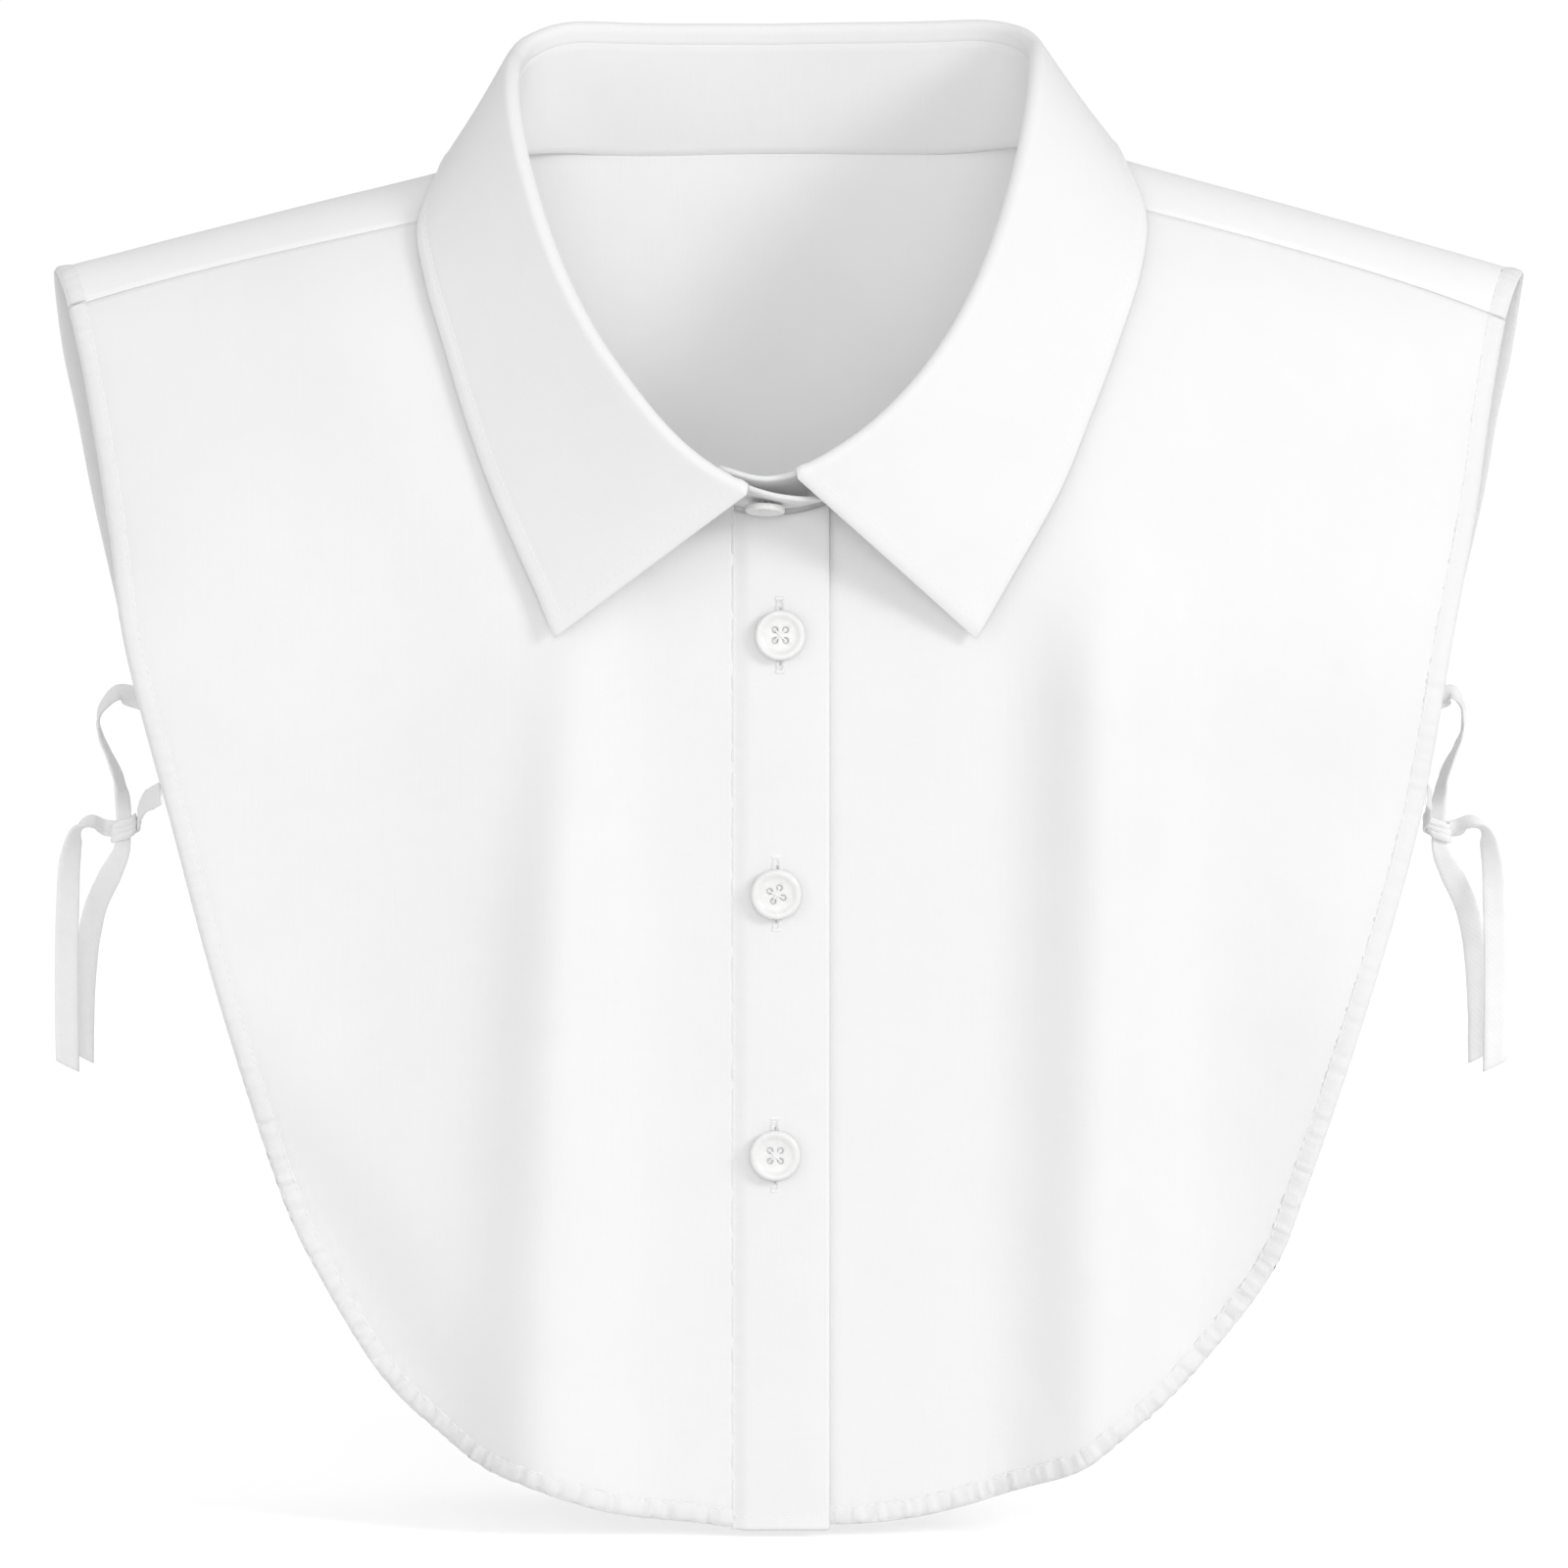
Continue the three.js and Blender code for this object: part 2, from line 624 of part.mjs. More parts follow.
function makeLeaf() {
  const stages = [
    { stage: "rise", steps: 1 },
    { stage: "roll", steps: 3 },
    { stage: "fall", steps: 5 },
  ];
  const stops = stages.flatMap(({ stage, steps }) =>
    Array.from({ length: steps }, (_, step) => ({ stage, t: step / steps })),
  );
  stops.push({ stage: "fall", t: 1 });
  return wall(44, stops.length - 1, (u, v) => {
    const turn = lerp(-leaf.leftEndTurn, leaf.rightEndTurn, u);
    const { stage, t } = stops[Math.round(v * (stops.length - 1))];
    return leafAt(turn, stage, t);
  });
}

// Buttons

// A dished round button, its back at z 0, on a thread shank that reaches down by shankLength
function makeButton(shankLength, scale) {
  const { radius, thick, dishRadius, dishDepth, rimRound, sides } = button;
  const profile = [
    new THREE.Vector2(0, 0),
    new THREE.Vector2(radius - rimRound, 0),
    new THREE.Vector2(radius, rimRound),
    new THREE.Vector2(radius, thick - rimRound),
    new THREE.Vector2(radius - rimRound, thick),
    new THREE.Vector2(dishRadius, thick),
    new THREE.Vector2(dishRadius - rimRound, thick - dishDepth),
    new THREE.Vector2(0, thick - dishDepth),
  ].map((point) => point.multiplyScalar(scale));
  const disc = new THREE.LatheGeometry(profile, sides).rotateX(Math.PI / 2);
  let solid = toSolid(disc);
  for (const [x, y] of [[1, 1], [1, -1], [-1, 1], [-1, -1]]) {
    const hole = new THREE.CylinderGeometry(button.holeRadius, button.holeRadius, 4 * thick, 8);
    hole.rotateX(Math.PI / 2).translate(x * button.holeOffset, y * button.holeOffset, 0);
    solid = solid.subtract(toSolid(hole));
  }
  const overlap = thick / 4;
  const { shankRadius } = button;
  const shank = new THREE.CylinderGeometry(shankRadius, shankRadius, shankLength + overlap, 8);
  shank.rotateX(Math.PI / 2).translate(0, 0, (overlap - shankLength) / 2);
  return solid.add(toSolid(shank));
}

// A place on the placket as a matrix: z out of the cloth, y up along it
function onPlacket({ x, z, spin }, lift) {
  const run = runAt(x, z, true);
  const normal = bodyNormal(x, run);
  const up = onBody(x, run - 1).sub(onBody(x, run + 1));
  const right = up.cross(normal).normalize();
  const matrix = new THREE.Matrix4().makeBasis(right, normal.clone().cross(right), normal);
  return matrix.setPosition(lifted(x, run, lift)).multiply(spinAbout(spin));
}

const spinAbout = (degrees) => new THREE.Matrix4().makeRotationZ(degToRad(degrees));

// A place on the closing tab of the stand: z out of its outer face, x along it
function onTab(outward) {
  const { out, side, up } = standFrame(collarButton.turn);
  const matrix = new THREE.Matrix4().makeBasis(side, out.clone().cross(side), out);
  if (up.dot(out.clone().cross(side)) < 0) matrix.multiply(spinAbout(180));
  return matrix.setPosition(inStand(collarButton.turn, collarButton.height, outward));
}

function makeButtons() {
  const seat = placket.lift + cloth.thick / 2 + cloth.gap;
  const shankFoot = underFront.lift + cloth.thick / 2 + cloth.gap;
  const buttons = buttonPlaces.map((place) => {
    const geometry = toGeometry(makeButton(seat - shankFoot, 1));
    return piece(place.name, geometry.applyMatrix4(onPlacket(place, seat)), buttonWhite);
  });
  const tabSeat = cloth.thick / 2 + collarButton.seatGap;
  const tabFoot = cloth.thick / 2 + cloth.gap - 2 * stand.overlapOffset;
  const small = toGeometry(makeButton(tabSeat - tabFoot, collarButton.scale));
  buttons.push(piece("collar_button", small.applyMatrix4(onTab(tabSeat)), buttonWhite));
  return buttons;
}

// Tapes

function readEvenRows(rows, column, t) {
  const place = clamp(t, 0, 1) * (rows.length - 1);
  const index = Math.min(Math.floor(place), rows.length - 2);
  return lerp(rows[index][column], rows[index + 1][column], place - index);
}

// The tape as a path: its middle, its width direction and the direction out of its face
function tapePath(rows) {
  const middle = new THREE.CatmullRomCurve3(
    rows.map(({ x, y, z }) => new THREE.Vector3(x, y, z)),
    false,
    "centripetal",
  );
  const across = new THREE.CatmullRomCurve3(
    rows.map(({ swing, tilt }) => {
      const level = Math.cos(degToRad(tilt));
      return new THREE.Vector3(
        level * Math.cos(degToRad(swing)),
        level * Math.sin(degToRad(swing)),
        Math.sin(degToRad(tilt)),
      );
    }),
  );
  return (t) => {
    const forward = middle.getTangent(t);
    const wide = across.getPoint(t);
    wide.addScaledVector(forward, -wide.dot(forward)).normalize();
    return { middle: middle.getPoint(t), forward, wide, face: forward.clone().cross(wide) };
  };
}

function tapeSolid(rows) {
  const path = tapePath(rows);
  const steps = (rows.length - 1) * tapeStepsPerRow;
  return wall(steps, 1, (u, v) => {
    const { middle, wide } = path(u);
    return middle.addScaledVector(wide, (v - 0.5) * readEvenRows(rows, "width", u));
  }, tapeThick);
}

// A flat band, nearly square in plan, that stands upright about both tapes
function knotRing(side) {
  const { x, y, z, halfWidth, halfDepth, height, thick, squareness, sides } = knotBand;
  const squared = (value) => Math.sign(value) * Math.abs(value) ** squareness;
  const vertices = [];
  const faces = [];
  for (let index = 0; index < sides; index++) {
    const angle = (2 * Math.PI * index) / sides;
    for (const [grow, shift] of [[-0.5, -0.5], [0.5, -0.5], [0.5, 0.5], [-0.5, 0.5]]) {
      vertices.push(side * x + (halfWidth + grow * thick) * squared(Math.cos(angle)));
      vertices.push(y + (halfDepth + grow * thick) * squared(Math.sin(angle)));
      vertices.push(z + shift * height);
    }
    const [here, next] = [4 * index, 4 * ((index + 1) % sides)];
    for (let corner = 0; corner < 4; corner++) {
      const other = (corner + 1) % 4;
      faces.push(here + corner, next + corner, next + other);
      faces.push(here + corner, next + other, here + other);
    }
  }
  return meshGeometry(Float32Array.from(vertices), faces);
}

function mirrored(rows, sewnEnd) {
  return rows.map((row, index) => {
    const fade = clamp(1 - index / rightSewnEnd.fadeRows, 0, 1);
    const { x, y, swing } = row;
    return { ...row, x: sewnEnd.x * fade - x, y: y + sewnEnd.y * fade, swing: 180 - swing };
  });
}

function makeTies() {
  const { back, front } = rightSewnEnd;
  const pairs = [
    ["left", 1, backTape, frontTape],
    ["right", -1, mirrored(backTape, back), mirrored(frontTape, front)],
  ];
  return pairs.flatMap(([side, direction, backRows, frontRows]) => {
    const knotted = toSolid(tapeSolid(frontRows)).add(toSolid(knotRing(direction)));
    return [
      piece("tie_back_" + side, tapeSolid(backRows), white),
      piece("tie_front_" + side, toGeometry(knotted), white),
    ];
  });
}

const dickey = new THREE.Group();
dickey.add(piece("over_front", makeOverFront(), white));
dickey.add(piece("under_front", makeUnderFront(), white));
dickey.add(piece("placket", makePlacket(), white));
dickey.add(piece("back_panel", makeBackPanel(), white));
dickey.add(piece("collar_stand", makeStand(), white));
dickey.add(piece("collar_leaf", makeLeaf(), white));
dickey.add(...makeButtons(), ...makeTies());

export default dickey;
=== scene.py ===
import math

import bpy
import numpy as np
from mathutils import Matrix, Vector


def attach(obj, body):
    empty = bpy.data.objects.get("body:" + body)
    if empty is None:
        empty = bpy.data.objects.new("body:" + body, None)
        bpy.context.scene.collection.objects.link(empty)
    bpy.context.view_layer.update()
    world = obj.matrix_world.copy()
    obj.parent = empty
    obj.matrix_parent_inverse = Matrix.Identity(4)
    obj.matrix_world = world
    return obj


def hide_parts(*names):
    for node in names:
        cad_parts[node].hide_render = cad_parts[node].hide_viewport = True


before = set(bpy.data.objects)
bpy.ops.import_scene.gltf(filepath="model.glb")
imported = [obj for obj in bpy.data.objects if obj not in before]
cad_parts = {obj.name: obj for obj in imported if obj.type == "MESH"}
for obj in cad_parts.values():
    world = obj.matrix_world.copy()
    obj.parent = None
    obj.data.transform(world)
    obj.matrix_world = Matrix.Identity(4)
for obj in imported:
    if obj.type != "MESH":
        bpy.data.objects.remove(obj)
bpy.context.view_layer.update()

# Sizes are in millimetres, and meshes are scaled to metres as they are made.
# +X is the wearer's left, -Y the front, +Z up, the origin is in the neck opening


def ease(value, low, high):
    t = np.clip((value - low) / (high - low), 0, 1)
    return t * t * (3 - 2 * t)


def mix(a, b, t):
    return a + (b - a) * t


def unit(vectors):
    return vectors / np.maximum(np.linalg.norm(vectors, axis=-1, keepdims=True), 1e-9)


def dot(a, b):
    return (a * b).sum(-1)


# rows of numbers under a line of column names
def table(names, *rows):
    return [dict(zip(names.split(), row)) for row in rows]


def column(rows, key):
    return np.array([row[key] for row in rows], float)


def bellAt(value, middle, width):
    return np.exp(-(((value - middle) / width) ** 2))


# a smooth curve through a table's rows
def readRows(rows, key, name, value):
    value = np.asarray(value, float)
    keys, values = column(rows, key), column(rows, name)
    last = np.clip(np.searchsorted(keys, value), 1, len(keys) - 1)
    first = last - 1
    before, after = np.maximum(first - 1, 0), np.minimum(last + 1, len(keys) - 1)
    span = keys[last] - keys[first]
    t = np.clip((value - keys[first]) / span, 0, 1)
    slopeFirst = (values[last] - values[before]) / (keys[last] - keys[before])
    slopeLast = (values[after] - values[first]) / (keys[after] - keys[first])
    rise = values[last] - values[first]
    a, b = slopeFirst * span - rise, rise - slopeLast * span
    return mix(values[first], values[last], t) + t * (1 - t) * (a * (1 - t) + b * t)


def lengthsAlong(points):
    steps = np.linalg.norm(np.diff(points, axis=0), axis=1)
    return np.concatenate([[0], np.cumsum(steps)])


# the points of a path at given lengths along it
def valuesAt(places, along, points):
    return np.stack([np.interp(places, along, axis) for axis in points.T], -1)


def resample(points, count):
    along = lengthsAlong(points)
    return valuesAt(np.linspace(0, along[-1], count), along, points)


def slopeOf(points):
    return unit(np.gradient(points, axis=0))


# soft uneven waves along a length, from a few sines
def unevenWaves(along, period, seed):
    random = np.random.default_rng(seed)
    total = 0
    for share in (1.0, 0.74, 1.37, 0.53):
        total = total + np.sin(2 * math.pi * along / (period * share) + random.uniform(0, 6.28))
    return total / 2.4


def addObject(name, data):
    thing = bpy.data.objects.new(name, data)
    bpy.context.scene.collection.objects.link(thing)
    return thing


# takes its points as they are, where addPiece scales them to metres
def bareObject(name, points, faces):
    mesh = bpy.data.meshes.new(name)
    mesh.from_pydata(points, [], faces)
    return addObject(name, mesh)


def addPiece(name, points, faces, material, flat=None):
    piece = bareObject(name, (np.asarray(points) * 0.001).tolist(), faces)
    mesh = piece.data
    if flat is not None:
        corners = np.empty(len(mesh.loops), np.int32)
        mesh.loops.foreach_get("vertex_index", corners)
        layer = mesh.uv_layers.new(name="cut")
        layer.uv.foreach_set("vector", (flat[corners] * 0.001).astype(np.float32).ravel())
    mesh.polygons.foreach_set("use_smooth", [True] * len(mesh.polygons))
    mesh.update()
    mesh.materials.append(material)
    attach(piece, "root")
    return piece


def gridNormals(grid):
    across = np.gradient(grid, axis=1)
    down = np.gradient(grid, axis=0)
    return unit(np.cross(across, down))


# two layers about a grid of points, closed round every edge; kept leaves cells out
def clothWall(name, grid, thick, material, flat, kept=None):
    rows, columns = grid.shape[:2]
    count = rows * columns
    normals = gridNormals(grid)
    half = np.broadcast_to(np.asarray(thick, float) / 2, (rows, columns))[..., None]
    index = np.arange(count).reshape(rows, columns)
    cells = np.stack([index[:-1, :-1], index[:-1, 1:], index[1:, 1:], index[1:, :-1]], -1)
    cells = cells[kept] if kept is not None else cells.reshape(-1, 4)
    edges = np.concatenate([cells[:, [a, (a + 1) % 4]] for a in range(4)])
    keys = edges.min(1) * count + edges.max(1)
    _, back, found = np.unique(keys, return_inverse=True, return_counts=True)
    rim = edges[found[back.ravel()] == 1]
    middle, outward = grid.reshape(-1, 3), np.zeros((count, 3))
    flatNormals = normals.reshape(-1, 3)
    push = np.cross(middle[rim[:, 1]] - middle[rim[:, 0]], flatNormals[rim[:, 0]])
    np.add.at(outward, rim[:, 0], push)
    np.add.at(outward, rim[:, 1], push)
    rimPoints = np.unique(rim)
    slotOf = np.zeros(count, np.int64)
    slotOf[rimPoints] = 2 * count + np.arange(len(rimPoints))
    edge = (middle + unit(outward) * half.reshape(-1, 1) * 0.9)[rimPoints]
    points = np.concatenate([
        (grid + normals * half).reshape(-1, 3), (grid - normals * half).reshape(-1, 3), edge,
    ])
    a, b = rim[:, 0], rim[:, 1]
    faces = np.concatenate([
        cells,
        cells[:, ::-1] + count,
        np.stack([b, a, slotOf[a], slotOf[b]], 1),
        np.stack([slotOf[b], slotOf[a], a + count, b + count], 1),
    ])
    used = np.unique(faces)
    renumber = np.zeros(len(points), np.int64)
    renumber[used] = np.arange(len(used))
    flatPoints = flat.reshape(-1, 2)
    flatPoints = np.concatenate([flatPoints, flatPoints, flatPoints[rimPoints]])
    return addPiece(name, points[used], renumber[faces].tolist(), material, flatPoints[used])


# a skin over closed rings, capped at both ends
def ringSkin(name, rings, material, closed=False):
    count, sides = rings.shape[:2]
    index = np.arange(count * sides).reshape(count, sides)
    if closed:
        index = np.concatenate([index, index[:1]])
    around = np.roll(index, -1, 1)
    faces = np.stack([index[:-1], around[:-1], around[1:], index[1:]], -1).reshape(-1, 4).tolist()
    points = rings.reshape(-1, 3)
    along = lengthsAlong(rings.mean(1))
    girth = lengthsAlong(np.concatenate([rings[0], rings[0][:1]]))[:-1]
    flat = np.stack(np.broadcast_arrays(girth[None, :], along[:, None]), -1).reshape(-1, 2)
    if not closed:
        ends = rings[[0, -1]].mean(1)
        points = np.concatenate([points, ends])
        flat = np.concatenate([flat, [[0, along[0]], [0, along[-1]]]])
        total = count * sides
        for side in range(sides):
            turn = (side + 1) % sides
            faces.append([side, total, turn][::-1])
            faces.append([total - sides + side, total - sides + turn, total + 1])
    return addPiece(name, points, faces, material, flat)


# thread stitches lying along a path, as one piece
def stitchRow(name, path, normals):
    along, pitch, step = lengthsAlong(path), seamStitch["pitch"], 0.3
    places = np.arange(pitch / 2, along[-1] - pitch / 3, pitch)
    forward = unit(valuesAt(places + step, along, path) - valuesAt(places - step, along, path))
    up = unit(valuesAt(places, along, normals))
    threads(name, valuesAt(places, along, path), forward, up, seamStitch)


# each stitch is a bead of thread whose two ends dip into the cloth
def threads(name, at, forward, up, stitch):
    side = unit(np.cross(up, forward))
    end, shoulder, middle = (0.5, 0.25, -0.7), (0.3, 0.85, 0.05), (0, 1, 0.3)
    stations = [(-end[0], *end[1:]), (-shoulder[0], *shoulder[1:]), middle, shoulder, end]
    sides = 6
    rings = []
    for share, fat, lift in stations:
        for turn in range(sides):
            angle = 2 * math.pi * turn / sides
            radius = stitch["width"] / 2 * fat
            rings.append(
                at + forward * share * stitch["length"]
                + side * radius * math.cos(angle)
                + up * (radius * math.sin(angle) + lift * stitch["width"] / 2 + stitch["lift"])
            )
    points = np.stack(rings, 1)
    each = []
    for ring in range(len(stations) - 1):
        for turn in range(sides):
            a, b = ring * sides + turn, ring * sides + (turn + 1) % sides
            each.append([a, b, b + sides, a + sides])
    each = np.array(each)[:, ::-1]
    ends = [list(range(sides)), list(range(len(stations) * sides))[:-sides - 1:-1]]
    faces = []
    for number in range(len(points)):
        start = number * points.shape[1]
        faces += (each + start).tolist()
        faces += [[corner + start for corner in end] for end in ends]
    addPiece(name, points.reshape(-1, 3), faces, sewingThread)


poplin = {
    "colour": (0.915, 0.915, 0.915, 1), "shade": (0.9, 0.9, 0.9, 1), "roughness": 0.82,
    "sheen": 0.08, "sheenRoughness": 0.5, "specular": 0.25, "seeThrough": 0.18,
    "threadPitch": 0.27, "weaveDepth": 0.03, "weaveStrength": 0.5,
    "slubStretches": ((60, 1400, 1), (1400, 60, 1)), "slubShare": 0.35, "patchScale": 45,
    "slubDepth": 0.035, "slubStrength": 0.6,
}
thread = {
    "colour": (0.86, 0.86, 0.86, 1), "roughness": 0.6, "sheen": 0.2,
    "twistScale": 900, "twistDepth": 0.05, "twistStrength": 0.4,
}
buttonFinish = {
    "colour": (0.79, 0.79, 0.785, 1), "cloud": (0.75, 0.75, 0.745, 1), "cloudScale": 260,
    "roughness": 0.35, "coat": 0.2, "glow": 0.1, "rubScale": 1800, "rubDepth": 0.05, "rubStrength": 0.12,
}
tape = {
    "colour": (0.985, 0.985, 0.985, 1), "shade": (0.96, 0.96, 0.96, 1), "roughness": 0.8,
    "sheen": 0.1, "ribPitch": 0.765, "ribDepth": 0.04, "fuzzScale": 420, "fuzzDepth": 0.05,
    "strength": 0.5, "seeThrough": 0.1,
}
waveScale = 314  # a wave texture of this scale has one band a millimetre


# a material that is built up node by node; an input is given a number or another node's output
class Finish:
    def __init__(self, name):
        self.material = bpy.data.materials.new(name)
        self.material.use_nodes = True
        self.nodes = self.material.node_tree.nodes
        self.surface = self.nodes["Principled BSDF"]

    def fill(self, node, inputs):
        for key, value in inputs.items():
            if isinstance(value, bpy.types.NodeSocket):
                self.material.node_tree.links.new(value, node.inputs[key])
            else:
                node.inputs[key].default_value = value

    def add(self, kind, output, inputs, **settings):
        node = self.nodes.new("ShaderNode" + kind)
        for key, value in settings.items():
            setattr(node, key, value)
        self.fill(node, inputs)
        return node.outputs[output]

    def tones(self, factor, *stops):
        ramp = self.nodes.new("ShaderNodeValToRGB")
        for element, (position, colour) in zip(ramp.color_ramp.elements, stops):
            element.position, element.color = position, colour
        self.fill(ramp, {"Fac": factor})
        return ramp.outputs["Color"]

    def bump(self, height, strength, depth, under=None):
        inputs = {"Height": height, "Strength": strength, "Distance": depth * 0.001}
        if under is not None:
            inputs["Normal"] = under
        return self.add("Bump", "Normal", inputs)

    # thin cloth lets part of the light through
    def letThrough(self, colour, normal, share):
        through = self.add("BsdfTranslucent", "BSDF", {"Color": colour, "Normal": normal})
        inputs = {"Fac": share, 1: self.surface.outputs["BSDF"], 2: through}
        shared = self.add("MixShader", "Shader", inputs)
        self.fill(self.nodes["Material Output"], {"Surface": shared})


def makePoplin(name, look):
    finish = Finish(name)
    cut = finish.add("UVMap", "UV", {}, uv_map="cut")
    weave, slubs = [], []
    for direction in "XY":
        inputs = {"Vector": cut, "Scale": waveScale / look["threadPitch"], "Distortion": 0.6}
        inputs = {**inputs, "Detail": 1, "Detail Scale": 0.3}
        weave.append(finish.add("TexWave", "Fac", inputs, bands_direction=direction))
    for stretch in look["slubStretches"]:
        stretched = finish.add("Mapping", "Vector", {"Vector": cut, "Scale": stretch})
        slubs.append(finish.add("TexNoise", "Fac", {"Vector": stretched, "Scale": 1, "Detail": 2}))
    crossing = finish.add("Math", "Value", {0: weave[0], 1: weave[1]}, operation="MULTIPLY")
    slub = finish.add("Math", "Value", {0: slubs[0], 1: slubs[1]}, operation="ADD")
    patches = finish.add("TexNoise", "Fac", {"Vector": cut, "Scale": look["patchScale"], "Detail": 3})
    inputs = {0: slub, 1: look["slubShare"], 2: patches}
    toned = finish.add("Math", "Value", inputs, operation="MULTIPLY_ADD")
    tones = finish.tones(toned, (0.5, look["shade"]), (1, look["colour"]))
    woven = finish.bump(crossing, look["weaveStrength"], look["weaveDepth"])
    normal = finish.bump(slub, look["slubStrength"], look["slubDepth"], woven)
    finish.fill(finish.surface, {
        "Base Color": tones, "Normal": normal, "Roughness": look["roughness"],
        "Sheen Weight": look["sheen"], "Sheen Roughness": look["sheenRoughness"],
        "Specular IOR Level": look["specular"],
    })
    finish.letThrough(tones, normal, look["seeThrough"])
    return finish.material


def makeThread(name, look):
    finish = Finish(name)
    place = finish.add("TexCoord", "Object", {})
    inputs = {"Vector": place, "Scale": look["twistScale"], "Distortion": 2}
    twist = finish.add("TexWave", "Fac", inputs, bands_direction="DIAGONAL")
    finish.fill(finish.surface, {
        "Base Color": look["colour"], "Roughness": look["roughness"], "Sheen Weight": look["sheen"],
        "Normal": finish.bump(twist, look["twistStrength"], look["twistDepth"]),
    })
    return finish.material


def makeButtonFinish(name, look):
    finish = Finish(name)
    place = finish.add("TexCoord", "Object", {})
    inputs = {"Vector": place, "Scale": look["cloudScale"], "Detail": 3, "Distortion": 1.5}
    cloud = finish.add("TexNoise", "Fac", inputs)
    rub = finish.add("TexNoise", "Fac", {"Vector": place, "Scale": look["rubScale"]})
    finish.fill(finish.surface, {
        "Base Color": finish.tones(cloud, (0.35, look["cloud"]), (0.65, look["colour"])),
        "Normal": finish.bump(rub, look["rubStrength"], look["rubDepth"]),
        "Roughness": look["roughness"], "Coat Weight": look["coat"], "Coat Roughness": 0.2,
        "Subsurface Weight": look["glow"], "Subsurface Radius": (0.001, 0.001, 0.001),
    })
    return finish.material


def makeTape(name, look):
    finish = Finish(name)
    cut = finish.add("UVMap", "UV", {}, uv_map="cut")
    inputs = {"Vector": cut, "Scale": waveScale / look["ribPitch"], "Distortion": 0.8}
    ribs = finish.add("TexWave", "Fac", inputs, bands_direction="DIAGONAL")
    fuzz = finish.add("TexNoise", "Fac", {"Vector": cut, "Scale": look["fuzzScale"], "Detail": 4})
    tones = finish.tones(fuzz, (0.3, look["shade"]), (0.75, look["colour"]))
    ribbed = finish.bump(ribs, look["strength"], look["ribDepth"])
    normal = finish.bump(fuzz, look["strength"], look["fuzzDepth"], ribbed)
    finish.fill(finish.surface, {
        "Base Color": tones, "Normal": normal, "Roughness": look["roughness"],
        "Sheen Weight": look["sheen"],
    })
    finish.letThrough(tones, normal, look["seeThrough"])
    return finish.material


poplinCloth = makePoplin("whitePoplin", poplin)
shadedPoplin = makePoplin("shadedPoplin", {**poplin, "seeThrough": 0.08})
doublePoplin = makePoplin("doublePoplin", {**poplin, "seeThrough": 0.15})
standPoplin = makePoplin("standPoplin", {**poplin, "seeThrough": 0.17})
sewingThread = makeThread("sewingThread", thread)
buttonPlastic = makeButtonFinish("satinButton", buttonFinish)
tapeCloth = makeTape("foldedTape", tape)
print("finishes made")


view = {
    "middle": (0.75, -20, -158.8), "distance": 12000, "width": 400, "tilt": 6, "sensor": 36, "clipEnd": 60,
}
studio = {
    "world": 0.69, "floorDepth": -346, "floorReach": 12000, "floorGlow": 0.34, "aim": (0, 0, -150),
    "key": {"from": (2700, -2400, 1250), "size": 1100, "power": 49},
    "fill": {"from": (-2600, -2600, 500), "size": 2000, "power": 12},
    "front": {"from": (0, -4500, 700), "size": 2000, "power": 44},
}


def aim(thing, place, target):
    thing.location = Vector(place) * 0.001
    thing.rotation_euler = (Vector(target) - Vector(place)).to_track_quat("-Z", "Y").to_euler()


def makeCamera():
    camera = addObject("camera", bpy.data.cameras.new("camera"))
    tilt = math.radians(view["tilt"])
    middle = Vector(view["middle"])
    away = Vector((0, -math.cos(tilt), math.sin(tilt))) * view["distance"]
    aim(camera, middle + away, middle)
    camera.data.sensor_width = view["sensor"]
    camera.data.lens = view["sensor"] * view["distance"] / view["width"]
    camera.data.clip_end = view["clipEnd"]
    bpy.context.scene.camera = camera


def makeStudio():
    world = bpy.data.worlds.new("studio")
    world.use_nodes = True
    sky = world.node_tree.nodes["Background"]
    sky.inputs["Color"].default_value = (1, 1, 1, 1)
    sky.inputs["Strength"].default_value = studio["world"]
    bpy.context.scene.world = world
    bpy.context.scene.view_settings.view_transform = "Standard"
    for name in ("key", "fill", "front"):
        lamp = studio[name]
        data = bpy.data.lights.new(name, "AREA")
        data.size = lamp["size"] * 0.001
        data.energy = lamp["power"]
        aim(addObject(name, data), lamp["from"], studio["aim"])
    reach, depth = studio["floorReach"] * 0.001, studio["floorDepth"] * 0.001
    corners = [(x * reach, y * reach, depth) for x, y in ((-1, -1), (1, -1), (1, 1), (-1, 1))]
    floor = bareObject("floor", corners, [(0, 1, 2, 3)])
    paper = Finish("paperFloor")
    paper.fill(paper.surface, {
        "Base Color": (0.93, 0.93, 0.93, 1), "Roughness": 0.9, "Specular IOR Level": 0,
        "Emission Color": (1, 1, 1, 1), "Emission Strength": studio["floorGlow"],
    })
    floor.data.materials.append(paper.material)
    floor.visible_diffuse = False


makeCamera()
makeStudio()
print("camera and light set")


shoulders = {
    "slope": 0.275, "neckX": 66, "rounding": 60, "halfSpan": 200, "rightLift": 3.2,
    "liftStartX": 45, "liftFullX": 88, "neckRise": 2, "neckRiseX": 60, "neckRiseWidth": 18,
}
# how far the cloth bulges and how far it falls as it turns down, at the middle, the sides and the nape
chest = {"depth": (72, 14, 0), "fall": (150, 30, 0)}
shoulderBlades = {"depth": (21, 14, 8), "fall": (1, 30, 9)}
depthPower, napeHalfWidth = 0.8, 50
